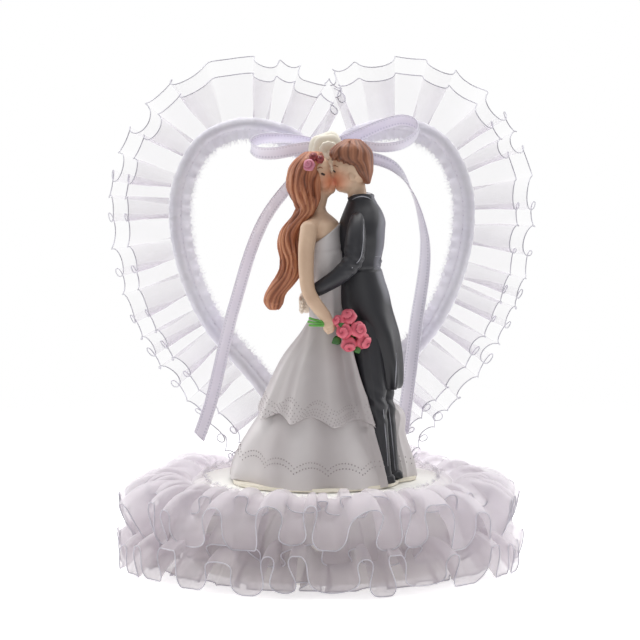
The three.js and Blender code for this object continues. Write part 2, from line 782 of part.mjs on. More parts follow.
const gownFolds = { count: 8, depth: 0.9 };
const round = (sections, sides) => (grow) => loft(sections, sides, grow);
const blob = (place, size, sides) => (grow) => ball(place, size, grow, sides);
const bloomSize = [BLOOM_RADIUS, BLOOM_RADIUS, BLOOM_RADIUS];
const budSize = [BUD_RADIUS, BUD_RADIUS, BUD_RADIUS];

function underskirtShape(grow) {
  const front = solid(loft(underskirt, 20, grow));
  const rear = solid(loft(train, 20, grow));
  return surface(front.add(rear));
}

function groomHeadShape(grow) {
  return surface(solid(loft(groomHead, 12, grow)).add(solid(loft(groomNeck, 10, grow))));
}

addPacked(figure, [
  ["bride_head", skinTone, round(brideHead, 12)],
  ["bride_arm_near", skinTone, (grow) => limb(brideNearArm, 10, 8, grow)],
  ["posy_holder", leafGreen, blob(posy, [POSY_RADIUS, POSY_RADIUS, POSY_RADIUS], 10)],
  ...blooms.map((spot, i) => [`posy_rose_${i + 1}`, pink, blob(spot, bloomSize, 8)]),
  ...leaves.map((spot, i) => [`posy_leaf_${i + 1}`, leafGreen, blob(spot, leafSize, 8)]),
  ["posy_stems", leafGreen, (grow) => limb(stems, 1, 6, grow)],
  ["groom_sleeve_near", charcoal, (grow) => limb(nearSleeve, 8, 8, grow)],
  ["groom_sleeve_far", charcoal, (grow) => limb(farSleeve, 8, 8, grow)],
  ["bride_arm_far", skinTone, (grow) => limb(brideFarArm, 8, 8, grow)],
  ["bride_shoulders", skinTone, round(shoulders, 14)],
  ["bride_bodice", gownWhite, round(bodice, 14)],
  ["groom_leg_near", charcoal, (grow) => limb(nearLeg, 4, 8, grow)],
  ["groom_leg_far", charcoal, (grow) => limb(farLeg, 4, 8, grow)],
  ["groom_shoe_near", charcoal, blob(nearShoe, shoeSize, 8)],
  ["groom_shoe_far", charcoal, blob(farShoe, shoeSize, 8)],
  ["bride_overskirt", gownWhite, (grow) => loft(overskirt, 32, grow, gownFolds)],
  ["bride_underskirt", gownWhite, underskirtShape],
  ["bride_hair", auburn, round(brideHair, 12)],
  ...buds.map((spot, i) => [`hair_flower_${i + 1}`, pink, blob(spot, budSize, 8)]),
  ["groom_head", skinTone, groomHeadShape],
  ["groom_hair", brown, round(groomHair, 12)],
  ["groom_collar", shirtWhite, round(collar, 12)],
  ["groom_jacket", charcoal, round(jacket, 12)],
  ["groom_far_hand", skinTone, blob(farHand, [2.2, 2.8, 3.8], 8)],
]);

// The figurine's foot follows the outline of the gown and the train.
function plinthShape() {
  const PLINTH_LEVEL = -CLEARANCE - PLINTH_THICKNESS;
  const slab = (sections) => {
    const [, x, y, halfX, halfY] = sections[0];
    const rim = [x, y, halfX + PLINTH_MARGIN, halfY + PLINTH_MARGIN];
    return solid(loft([[PLINTH_LEVEL, ...rim], [-CLEARANCE, ...rim]], 28));
  };
  return surface(slab(underskirt).add(slab(train)));
}
addPiece(figure, "figurine_plinth", plinthShape(), ivoryPlastic);

export default topper;
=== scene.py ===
"""Wedding cake topper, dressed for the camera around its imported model."""
import math

import bpy
import numpy as np
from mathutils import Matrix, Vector
from mathutils.bvhtree import BVHTree


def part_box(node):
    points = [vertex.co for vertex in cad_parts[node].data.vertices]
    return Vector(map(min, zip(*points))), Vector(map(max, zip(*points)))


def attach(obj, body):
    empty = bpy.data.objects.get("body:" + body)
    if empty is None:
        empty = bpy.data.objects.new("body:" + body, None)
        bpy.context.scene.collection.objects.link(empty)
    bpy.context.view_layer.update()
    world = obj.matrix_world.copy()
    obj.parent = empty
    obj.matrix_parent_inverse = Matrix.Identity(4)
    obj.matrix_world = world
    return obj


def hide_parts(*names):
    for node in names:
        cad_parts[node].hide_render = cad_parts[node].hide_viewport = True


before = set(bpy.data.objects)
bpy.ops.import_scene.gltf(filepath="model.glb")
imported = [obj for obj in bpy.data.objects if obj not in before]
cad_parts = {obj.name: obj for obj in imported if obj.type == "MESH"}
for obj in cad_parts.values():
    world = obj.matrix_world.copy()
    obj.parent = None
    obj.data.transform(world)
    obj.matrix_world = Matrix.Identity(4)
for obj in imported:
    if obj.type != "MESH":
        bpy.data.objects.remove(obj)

MM = 0.001
TURN = 2 * math.pi
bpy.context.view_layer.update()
scene = bpy.context.scene
rng = np.random.default_rng(7)


def top_of(node):
    """The height of a node's highest point, in mm."""
    return round(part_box(node)[1].z / MM, 1)


# Places in mm. The couple's shapes are measured from FIGURE, the middle of its foot.
DECK = top_of("base_drum")
FOOT_GAP = 0.3
FIGURE = np.array([0.0, -6.0, top_of("figurine_plinth") + FOOT_GAP])


# Camera, at the photograph's viewing angle. The image is square.
IMAGE = 640
TILT = math.radians(6)
AIM = Vector((-0.00068, 0, 0.083))
to_camera = Vector((0, -math.cos(TILT), math.sin(TILT)))
camera = bpy.data.objects.new("camera", bpy.data.cameras.new("camera"))
scene.collection.objects.link(camera)
camera.data.lens = 165.4
camera.data.sensor_width = 36
camera.location = AIM + to_camera
camera.rotation_euler = (-to_camera).to_track_quat("-Z", "Y").to_euler()
scene.camera = camera
scene.view_settings.view_transform = "Standard"
scene.cycles.transparent_max_bounces = 48


# Light. Places and sizes are in metres, power is in watts.
def softbox(name, place, aim, size, power):
    lamp = bpy.data.objects.new(name, bpy.data.lights.new(name, "AREA"))
    lamp.data.shape = "RECTANGLE"
    lamp.data.size, lamp.data.size_y = size
    lamp.data.energy = power
    lamp.location = place
    lamp.rotation_euler = (Vector(aim) - Vector(place)).to_track_quat("-Z", "Y").to_euler()
    scene.collection.objects.link(lamp)


softbox("light_top", (0, 0.2, 0.95), (0, 0, 0.08), (0.9, 0.7), 10.5)
softbox("light_left", (-0.8, 0.3, 0.4), (0, 0, 0.09), (0.5, 0.8), 3.4)
softbox("light_right", (0.8, 0.4, 0.4), (0, 0, 0.09), (0.5, 0.8), 3.0)
softbox("light_front", (0.05, -1.4, 0.5), (0, 0, 0.08), (0.9, 0.6), 1.9)


def add_node(tree, kind, inputs, **settings):
    """A new shader node. Its inputs are numbers, colours or outputs of other nodes."""
    node = tree.nodes.new("ShaderNode" + kind)
    for setting, value in settings.items():
        setattr(node, setting, value)
    for socket, value in inputs.items():
        if isinstance(value, bpy.types.NodeSocket):
            tree.links.new(value, node.inputs[socket])
        else:
            node.inputs[socket].default_value = value
    return node


# The world lights the part dimly. The camera sees it plain white, and so do reflections in part.
DIM, BRIGHT, IN_REFLECTIONS = 0.3, 1.0, 0.4
scene.world = bpy.data.worlds.new("studio")
scene.world.use_nodes = True
studio = scene.world.node_tree
lighting, backdrop = studio.nodes["Background"], studio.nodes.new("ShaderNodeBackground")
for background, strength in ((lighting, DIM), (backdrop, BRIGHT)):
    background.inputs["Color"].default_value = (1, 1, 1, 1)
    background.inputs["Strength"].default_value = strength
rays = add_node(studio, "LightPath", {}).outputs
white = add_node(studio, "Math", {0: rays["Is Glossy Ray"], 1: IN_REFLECTIONS, 2: rays["Is Camera Ray"]},
                 operation="MULTIPLY_ADD", use_clamp=True)
either = add_node(studio, "MixShader", {0: white.outputs[0], 1: lighting.outputs[0], 2: backdrop.outputs[0]})
studio.links.new(either.outputs[0], studio.nodes["World Output"].inputs["Surface"])


# Materials. Colours are as seen on a screen, 0 to 255.
def rgb(*colour):
    """A screen colour in linear light."""
    def linear(value):
        value /= 255
        return value / 12.92 if value <= 0.04045 else ((value + 0.055) / 1.055) ** 2.4
    return (*map(linear, colour), 1)


class Finish:
    """A procedural material: a ramp of colours, with grain in its roughness and bump.
    tone is how far the ramp follows the mesh's own tone, the rest follows patches of noise."""
    PATCHES, ROUGH_PATCHES, BUMP_DEPTH = 0.18, 0.5, 0.2 * MM
    TONE_ENDS, NOISE_ENDS = (0.0, 1.0), (0.3, 0.7)
    # A wave texture of scale 1 has bands this far apart, in metres.
    WAVE_PITCH = 0.314
    # The Mix node's sockets for colours.
    COLOUR_A, COLOUR_B, COLOUR_OUT = 6, 7, 2

    def __init__(self, name, colours, rough, grain, bump, tone=0.0, source="Object", **sockets):
        self.material = bpy.data.materials.new(name)
        self.material.use_nodes = True
        self.tree = self.material.node_tree
        self.shader = self.tree.nodes["Principled BSDF"]
        self.place = self.node("TexCoord", source, {})
        patches = self.noise(grain * self.PATCHES)
        if tone:
            patches = self.math("ADD", self.math("MULTIPLY", patches, 1 - tone),
                                self.math("MULTIPLY", self.attribute("tone"), tone))
        ramp = add_node(self.tree, "ValToRGB", {"Fac": patches})
        low, high = self.TONE_ENDS if tone else self.NOISE_ENDS
        for i, colour in enumerate(colours):
            if i > 1:
                ramp.color_ramp.elements.new(1.0)
            stop = ramp.color_ramp.elements[i]
            stop.position = low + (high - low) * i / (len(colours) - 1)
            stop.color = rgb(*colour)
        self.colour = ramp.outputs["Color"]
        self.feed("Base Color", self.colour)
        spread = {"Value": self.noise(grain * self.ROUGH_PATCHES), "To Min": rough[0], "To Max": rough[1]}
        self.feed("Roughness", self.node("MapRange", "Result", spread))
        self.bump = add_node(self.tree, "Bump", {"Strength": bump, "Distance": self.BUMP_DEPTH,
                                                 "Height": self.noise(grain)})
        self.feed("Normal", self.bump.outputs["Normal"])
        for socket, value in sockets.items():
            self.shader.inputs[socket.replace("_", " ")].default_value = value

    def node(self, kind, output, inputs, **settings):
        """One output of a new node."""
        return add_node(self.tree, kind, inputs, **settings).outputs[output]

    def feed(self, socket, value):
        """Links a node's output to a socket of the shader."""
        self.tree.links.new(value, self.shader.inputs[socket])

    def noise(self, scale):
        return self.node("TexNoise", "Fac", {"Scale": scale, "Detail": 3, "Vector": self.place})

    def math(self, kind, first, second=0):
        return self.node("Math", 0, {0: first, 1: second}, operation=kind)

    def attribute(self, name):
        return self.node("Attribute", "Fac", {}, attribute_name=name)

    def threads(self, pitch):
        """Two crossing sets of threads as bump, along and across the cloth's own map."""
        inputs = {"Scale": self.WAVE_PITCH / (pitch * MM), "Vector": self.place}
        sets = [self.node("TexWave", "Fac", inputs, bands_direction=way) for way in "XY"]
        self.tree.links.new(self.math("MAXIMUM", *sets), self.bump.inputs["Height"])

    def distance(self, centre):
        """How far the surface is from a point, given in mm."""
        spot = tuple(np.asarray(centre) * MM)
        return self.node("VectorMath", "Value", {0: self.place, 1: spot}, operation="DISTANCE")

    def faded(self, value, limits, ends):
        """Eases from one end to the other while a value goes between two limits."""
        inputs = {"Value": value, "From Min": limits[0], "From Max": limits[1],
                  "To Min": ends[0], "To Max": ends[1]}
        return self.node("MapRange", "Result", inputs, interpolation_type="SMOOTHSTEP")

    def tint(self, share, colour):
        """Lays another colour over the surface by a share from 0 to 1."""
        inputs = {"Factor": share, self.COLOUR_A: self.colour, self.COLOUR_B: rgb(*colour)}
        self.colour = self.node("Mix", self.COLOUR_OUT, inputs, data_type="RGBA")
        self.feed("Base Color", self.colour)

    def spot(self, centre, radius, colour, strength):
        """A soft round patch of another colour, centred on a point of the part in mm."""
        self.tint(self.faded(self.distance(centre), (0, radius * MM), (strength, 0)), colour)


def paint(*values, **sockets):
    return Finish(*values, **sockets).material


def organza(name, alpha, colours, tone=0.0, clear=None):
    """Sheer woven cloth. Where clear is given, the cloth fades to that alpha where its tone is 0."""
    THREAD_PITCH = 0.32
    cloth = Finish(name, colours, SATIN, 260, 0.25, tone, "UV", Sheen_Weight=0.3, Alpha=alpha)
    cloth.threads(THREAD_PITCH)
    if clear is not None:
        veil = cloth.math("ADD", cloth.math("MULTIPLY", cloth.attribute("tone"), alpha - clear), clear)
        cloth.feed("Alpha", veil)
    return cloth.material


# Ranges of roughness.
MATT, SEMI, SATIN, SMOOTH = (0.5, 0.6), (0.4, 0.55), (0.45, 0.6), (0.3, 0.4)

wide_cloth = organza("organza_wide_frill", 0.13, [(204, 194, 210), (220, 211, 225)], clear=0.05)
narrow_cloth = organza("organza_narrow_frill", 0.3, [(196, 183, 203), (214, 202, 218)], clear=0.08)
base_cloth = organza("organza_base", 0.48, [(182, 171, 176), (222, 214, 220), (246, 240, 246)], 0.8)
sleeve_cloth = organza("organza_sleeve", 0.75, [(240, 236, 248), (250, 248, 254)])
fibre_paint = paint("frayed_fibre", [(214, 208, 218), (236, 232, 240)], MATT, 900, 0.1)
stitch_paint = paint("stitch_thread", [(168, 162, 178), (190, 184, 200)], MATT, 900, 0.1)
base_line = paint("base_hem_line", [(164, 161, 171), (194, 191, 200)], SMOOTH, 600, 0.1)
line_paint = paint("hem_line", [(176, 174, 184), (206, 204, 212)], SMOOTH, 600, 0.1)

skin = Finish("skin_paint", [(199, 167, 141), (221, 191, 164)], (0.42, 0.55), 500, 0.08)
BRIDE_CHEEK, GROOM_CHEEK, LIPS = (2.6, -10.2, 130.2), (5.8, -10.2, 130.8), (4.4, -7.5, 130.4)
skin.spot(BRIDE_CHEEK, 6.4, (222, 130, 88), 0.8)
skin.spot(GROOM_CHEEK, 5.6, (222, 140, 104), 0.62)
skin.spot(LIPS, 2.4, (206, 110, 84), 0.55)
# Hair colours run from painted shade in the grooves to painted highlights on the ridges.
auburn = paint("auburn_paint", [(74, 38, 24), (152, 88, 58), (208, 144, 106)], SEMI, 700, 0.12, 0.85)
brown = paint("brown_paint", [(58, 32, 22), (124, 76, 54), (176, 118, 88)], SEMI, 700, 0.12, 0.85)
gown_white = paint("gown_white", [(158, 150, 151), (204, 198, 198), (236, 232, 232)], SEMI, 420, 0.1, 0.75)
# Painted light: a paler copy of the skin, for the groom's far hand, which would otherwise sit in shade.
pale_skin = paint("pale_skin", [(240, 222, 200), (252, 240, 224)], SEMI, 500, 0.08)
lace_dot_shade = paint("lace_dots", [(150, 140, 142), (178, 168, 170)], MATT, 700, 0.1)
# The suit's palest colour is a painted highlight, reached where a piece's tone is high.
suit = paint("suit_charcoal", [(14, 14, 18), (34, 34, 40), (132, 132, 142)], (0.36, 0.5), 420, 0.15, 0.85)
# Light lines painted along the suit's edges as highlights.
edge_highlight = paint("suit_worn_edge", [(104, 104, 112), (168, 168, 176)], SEMI, 900, 0.1)
shirt = paint("shirt_white", [(226, 226, 230), (242, 242, 244)], MATT, 500, 0.1)
pink = paint("rose_pink", [(112, 28, 42), (206, 84, 104), (236, 140, 152)], SEMI, 600, 0.1, 0.9)
dusty_pink = paint("bud_dusty_pink", [(112, 44, 58), (190, 108, 130), (220, 160, 174)], SEMI, 600, 0.1, 0.9)
dark_red = paint("bud_dark_red", [(70, 22, 22), (132, 46, 48), (172, 84, 84)], SEMI, 600, 0.1, 0.9)
leaf_green = paint("leaf_green", [(34, 74, 34), (78, 136, 66)], SATIN, 800, 0.15)
stem_green = paint("stem_green", [(84, 160, 62), (120, 196, 92)], SATIN, 800, 0.15)
eye_dark = paint("eye_dark", [(24, 16, 14), (48, 32, 26)], (0.25, 0.35), 900, 0.02)
brow_brown = paint("brow_brown", [(120, 70, 46), (150, 92, 64)], MATT, 900, 0.05)
cream = paint("cream_ribbon", [(224, 214, 194), (252, 248, 236)], SEMI, 500, 0.15, 0.8)


# Mesh building, in millimetres.
def through(knots, values, at):
    """A smooth curve through values at rising knots, read at the places asked."""
    knots, values = np.asarray(knots, float), np.asarray(values, float)
    at = np.clip(at, knots[0], knots[-1])
    slope = np.gradient(values, knots, axis=0)
    i = np.clip(np.searchsorted(knots, at, side="right") - 1, 0, len(knots) - 2)
    span = knots[i + 1] - knots[i]
    t = (at - knots[i]) / span
    if values.ndim > 1:
        t, span = t[..., None], span[..., None]
    return ((1 + 2 * t) * (1 - t) ** 2 * values[i] + t * (1 - t) ** 2 * span * slope[i]
            + t * t * (3 - 2 * t) * values[i + 1] + t * t * (t - 1) * span * slope[i + 1])


def lengths(points):
    return np.linalg.norm(np.diff(points, axis=0), axis=1)


def run_along(points):
    """How far each point lies along a line."""
    return np.r_[0, np.cumsum(lengths(points))]


def walk(points, count):
    """Evenly spaced points on a smooth line. Columns after the third ride along."""
    STEPS_PER_POINT = 60
    points = np.asarray(points, float)
    knots = np.r_[0, np.cumsum(np.sqrt(lengths(points[:, :3])))]
    fine = through(knots, points, np.linspace(0, knots[-1], STEPS_PER_POINT * len(points)))
    run = run_along(fine[:, :3])
    at = np.linspace(0, run[-1], count)
    return np.stack([np.interp(at, run, column) for column in fine.T], 1)


def unit(vectors):
    return vectors / np.linalg.norm(vectors, axis=-1, keepdims=True)


def eased(share):
    share = np.clip(share, 0, 1)
    return share * share * (3 - 2 * share)


def bell(distance, width):
    """1 where the distance is 0, falling smoothly to 0 on both sides."""
    return np.exp(-(distance / width) ** 2)


def sway(share, *waves):
    """A sum of waves along a share. Each has a size, a speed and a start."""
    return sum(size * np.sin(speed * share + start) for size, speed, start in waves)


def around(sides):
    """Angles of evenly spaced places round a circle."""
    return np.arange(sides) * TURN / sides


def ring(radius, angle, height):
    return np.stack([radius * np.cos(angle), radius * np.sin(angle), height], 1)


def quads(rows, columns, wrap_rows=False, wrap_columns=False):
    i, j = np.meshgrid(np.arange(rows - (not wrap_rows)), np.arange(columns - (not wrap_columns)),
                       indexing="ij")
    k, m = (i + 1) % rows, (j + 1) % columns
    corners = [i * columns + j, i * columns + m, k * columns + m, k * columns + j]
    return np.stack(corners, -1).reshape(-1, 4).tolist()


def closed(rings):
    """A closed skin over rings of points, with a point in the middle of each end."""
    rows, columns = rings.shape[:2]
    ends = [rings[0].mean(0), rings[-1].mean(0)]
    faces = quads(rows, columns, wrap_columns=True)
    first, last = rows * columns, rows * columns + 1
    for j in range(columns):
        k = (j + 1) % columns
        faces.append([first, k, j])
        faces.append([last, (rows - 1) * columns + j, (rows - 1) * columns + k])
    return np.concatenate([rings.reshape(-1, 3), ends]), faces


def tube(path, radius, sides, loop=False):
    """A round line along a path. Its ends are closed unless it is a loop."""
    FIRST_SIDE = [0.3, 0.5, 0.8]
    path = np.asarray(path, float)
    if loop:
        along = unit(np.roll(path, -1, 0) - np.roll(path, 1, 0))
    else:
        along = unit(np.gradient(path, axis=0))
    side = unit(np.cross(along[0], FIRST_SIDE))
    frames = []
    for direction in along:
        side = unit(side - direction * (side @ direction))
        frames.append(side)
    side = np.array(frames)
    up = np.cross(along, side)
    angle = around(sides)[:, None]
    radius = np.broadcast_to(radius, len(path))[:, None, None]
    rings = path[:, None] + radius * (side[:, None] * np.cos(angle) + up[:, None] * np.sin(angle))
    if loop:
        return rings.reshape(-1, 3), quads(len(path), sides, True, True)
    return closed(rings)


def joined(shells):
    points, faces, start = [], [], 0
    for shell_points, shell_faces in shells:
        points.append(shell_points)
        faces.extend([[start + corner for corner in face] for face in shell_faces])
        start += len(shell_points)
    return np.concatenate(points), faces


def make(name, shell, finish, replaces=(), origin=(0, 0, 0), tone=None, uv=None):
    """A piece of the part, from points in mm and faces."""
    points, faces = shell
    mesh = bpy.data.meshes.new(name)
    mesh.from_pydata(((points + np.asarray(origin)) * MM).tolist(), [], faces)
    mesh.polygons.foreach_set("use_smooth", [True] * len(mesh.polygons))
    if tone is not None:
        mesh.attributes.new("tone", "FLOAT", "POINT").data.foreach_set("value", tone.astype(np.float32))
    if uv is not None:
        corners = np.empty(len(mesh.loops), np.int32)
        mesh.loops.foreach_get("vertex_index", corners)
        places = (uv[corners] * MM).astype(np.float32).ravel()
        mesh.uv_layers.new(name="cloth").data.foreach_set("uv", places)
    mesh.materials.append(finish)
    piece = bpy.data.objects.new(name, mesh)
    scene.collection.objects.link(piece)
    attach(piece, "root")
    if replaces:
        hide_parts(*replaces)
    return piece


def cloth(name, points, finish, slot, width, rests_on, trim=(), loop=False, tone=None):
    """A gathered strip of cloth from rows of points: first index along it, second across it.
    It stands for the node of its name, if there is one."""
    rows, columns = points.shape[:2]
    across = np.linalg.norm(np.diff(points, axis=1), axis=-1).sum(1).mean()
    hem = points[:, -1]
    run = run_along(np.concatenate([hem, hem[:1]]) if loop else hem)
    uv = np.stack(np.meshgrid(run[:rows], np.linspace(0, across, columns), indexing="ij"), -1)
    shell = points.reshape(-1, 3), quads(rows, columns, wrap_rows=loop)
    replaces = [name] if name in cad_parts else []
    piece = make(name, shell, finish, replaces, tone=tone, uv=uv.reshape(-1, 2))


# The heart's line, as in the part's source, from the left leg over the cleft to the right leg.
# HEART_HALF gives the right half from the cleft, as shares of the half width and the height.
HEART_HALF_WIDTH, HEART_HEIGHT, HEART_Y, HEART_POINTS = 50.8, 120.6, 24, 2401
HEART_HALF = [(0, 0.916), (0.235, 0.977), (0.55, 1), (0.81, 0.954), (0.965, 0.845), (1, 0.736),
              (0.945, 0.586), (0.78, 0.427), (0.42, 0.243)]
LEG_BEND, LEG_FOOT = (9.2, HEART_Y, 37), (7, HEART_Y, 22.8)
CLEFT_HEIGHT = DECK + HEART_HALF[0][1] * HEART_HEIGHT
right_half = [(HEART_HALF_WIDTH * x, HEART_Y, DECK + HEART_HEIGHT * z) for x, z in HEART_HALF]
right_half += [LEG_BEND, LEG_FOOT]
left_half = [(-x, y, z) for x, y, z in right_half[:0:-1]]
heart = walk(left_half + right_half, HEART_POINTS)
heart_right = heart[HEART_POINTS // 2:]
PER_MM = 1 / np.linalg.norm(heart[1] - heart[0])


def heart_side(count, low, start):
    """Points on the right half of the wire, from near the cleft down to a height,
    with the directions out of the heart."""
    run = heart_right[heart_right[:, 2] > low]
    at = np.linspace(start * PER_MM, len(run) - 1, count)
    base = np.stack([np.interp(at, np.arange(len(run)), run[:, k]) for k in range(3)], 1)
    along = unit(np.gradient(base, axis=0))
    return base, np.stack([-along[:, 2], 0 * at, along[:, 0]], 1)


def heart_frill(layer, word, side, finish, depth, lift, start, lean):
    """One frill layer on one half of the heart. Its waves swing forward, hook under at their lower
    end, and swing back. Small pleats lie at its foot. Doubled and forward cloth is less sheer."""
    FOLDS, STEPS, ROWS, PLEATS = 14, 60, 18, 30
    SEAT, DECK_GAP, HEM = 2.3, 3.4, 0.2
    FORWARD, SWING = 9, 25
    base, out = heart_side(FOLDS * STEPS + 1, LEG_BEND[2], start)
    angle = np.minimum(np.arctan2(out[:, 2], out[:, 0]), math.radians(90 + lean))
    out = np.stack([np.cos(angle), 0 * angle, np.sin(angle)], 1)
    along = np.stack([out[:, 2], 0 * angle, -out[:, 0]], 1)
    share = np.linspace(0, 1, len(base))
    length = lengths(base).sum()
    flare = np.linalg.norm(np.gradient(base + out * depth, axis=0), axis=1) * (len(base) - 1) / length
    turn = TURN * (FOLDS * share + 0.1 + sway(share, (0.14, 20, side), (0.07, 47, 0)))
    pleat = TURN * (PLEATS * share + sway(share, (0.5, 17, side), (0.3, 41, 0)))
    size = 1 + sway(share, (0.2, 30, side), (0.15, 71, 0))
    hook = (0.3 + sway(share, (0.2, 37, 2 * side))) * (1 - 0.6 * out[:, 2])
    overlap = 0.48 + 0.46 * np.minimum(1 - out[:, 2], 1.1) + sway(share, (0.08, 53, side))
    wave, tuck = length / FOLDS / TURN, length / PLEATS / TURN
    forward = eased((np.sin(turn) + 0.1) / 0.5)
    doubled = 0.55 + 0.45 * eased(0.5 - np.cos(turn))
    points = np.empty((len(base), ROWS, 3))
    for row, s in enumerate(np.linspace(0, 1, ROWS)):
        swing = np.radians(FORWARD + SWING * size * np.sin(turn)) * min(1, 0.3 + s)
        loose = min(1, 0.75 + 0.5 * s) * (1 + s * (flare - 1))
        gather = max(0.0, 1 - 1.8 * s)
        slide = (loose * wave * (hook * s * np.sin(turn) - overlap * np.sin(2 * turn))
                 - gather * tuck * 1.1 * np.sin(pleat))
        points[:, row] = base + out * (SEAT + s * depth * np.cos(swing))[:, None] + along * slide[:, None]
        points[:, row, 1] -= s * depth * np.sin(swing) + lift + gather * 0.6 * np.cos(pleat)
        low = DECK + DECK_GAP + 3 * (1 - s)
        points[:, row, 2] = np.maximum(points[:, row, 2], low + 0.15 * (points[:, row, 2] - low))
    points[..., 0] *= side
    name = f"heart_frill_{layer}_{word}"
    hem = make(name + "_hem", tube(points[:, -1], HEM, 5), line_paint)
    veil = np.repeat(forward * doubled, ROWS)
    cloth(name, points, finish, "organza", depth, "heart_sleeve_" + word, [hem], tone=veil)


# The right frill starts away from the cleft. The left one starts in it and leans across.
for word, side, start, lean in (("right", 1, 12, 22), ("left", -1, 1, 30)):
    heart_frill("back", word, side, wide_cloth, 20.9, -0.8, start, lean)
    heart_frill("front", word, side, narrow_cloth, 15.2, 1.0, start, lean)


def fray(edge, way, spread, length):
    """Loose fibres on a raw edge."""
    FIBRE, BEND = 0.04, 0.12
    fibres = []
    for k in range(len(edge) - 1):
        root = edge[k] + (edge[k + 1] - edge[k]) * rng.uniform(0, 1)
        tip = root + unit(way[k] + rng.normal(0, spread, 3)) * rng.uniform(0.25, 1) * length
        middle = (root + tip) / 2 + rng.normal(0, BEND, 3)
        fibres.append(tube(np.stack([root, middle, tip]), FIBRE, 3))
    return joined(fibres)


def sleeve(side, name):
    """Doubled cloth round the wire, stitched along its middle, with raw edges towards the inside."""
    POINTS, ROUND, FLANGE = 420, 22, 8
    RADIUS, SEAM, WIDTH, STRIP = 2.1, -1.8, 3.2, 18.7
    DECK_GAP, THREAD, THREAD_OUT, THREAD_BOW = 2.4, 0.13, 0.42, 0.12
    WAVE_RUN, STITCH_START, STITCH_STEP, STITCH_LENGTH = 195, 6, 4, 2
    base, out = heart_side(POINTS, DECK + DECK_GAP, 0)
    mm = np.linspace(0, WAVE_RUN, POINTS)
    ruck = sway(mm, (0.05, 2.6, np.sin(0.7 * mm)), (0.06, 1.1, 1))
    ragged = sway(mm, (0.4, 0.9, 1.5 * np.sin(0.31 * mm)), (0.3, 2.7, 0))
    flutter = sway(mm, (1, 1.05, 0.8 * np.sin(0.4 * mm)))
    front = [(SEAM - (WIDTH + ragged) * share, -0.3 - share * (0.5 + 0.5 * flutter))
             for share in np.linspace(1, 0.1, FLANGE)]
    body = [(0.2 + (RADIUS + ruck) * math.cos(turn), -(RADIUS + ruck) * math.sin(turn))
            for turn in np.linspace(math.pi, -math.pi, ROUND)[1:-1]]
    back = [(SEAM - (WIDTH - ragged) * share, 0.3 + share * (0.5 + 0.5 * flutter))
            for share in np.linspace(0.1, 1, FLANGE)]
    mirror = np.array([side, 1, 1])
    points = mirror * np.stack([base + out * reach[:, None] + np.outer(deep, [0, 1, 0])
                                for reach, deep in front + body + back], 1)
    stitches = []
    for k in range(STITCH_START, POINTS - STITCH_START, STITCH_STEP):
        pair = [k, k + STITCH_LENGTH]
        for face in (-1, 1):
            ends = base[pair] + out[pair] * SEAM + np.array([0, face * THREAD_OUT, 0])
            dash = np.stack([ends[0], ends.mean(0) + [0, face * THREAD_BOW, 0], ends[1]])
            stitches.append(tube(dash * mirror, THREAD, 5))
    thread = make(name + "_stitches", joined(stitches), stitch_paint)
    loose = joined([fray(points[:, edge], -out * mirror, 0.45, 1.9) for edge in (0, -1)])
    fibres = make(name + "_fray", loose, fibre_paint)
    cloth(name, points, sleeve_cloth, "sleeve_cloth", STRIP, "heart_wire", [thread, fibres])


sleeve(1, "heart_sleeve_right")
sleeve(-1, "heart_sleeve_left")


# Base frills. They are sewn round the drum at this radius.
DRUM = 44.6


def wander(share, waves, kind):
    """A smooth endless irregular line round the base, about -1 to 1."""
    return sum(np.sin(TURN * (k * share + 0.618 * k * kind)) for k in waves) / math.sqrt(len(waves))


def between(pair, lift):
    """An angle in degrees, given for a lifted and a drooping petal, in radians at a lift of 1 to -1."""
    return np.radians((pair[0] + pair[1]) / 2 + (pair[0] - pair[1]) / 2 * lift)


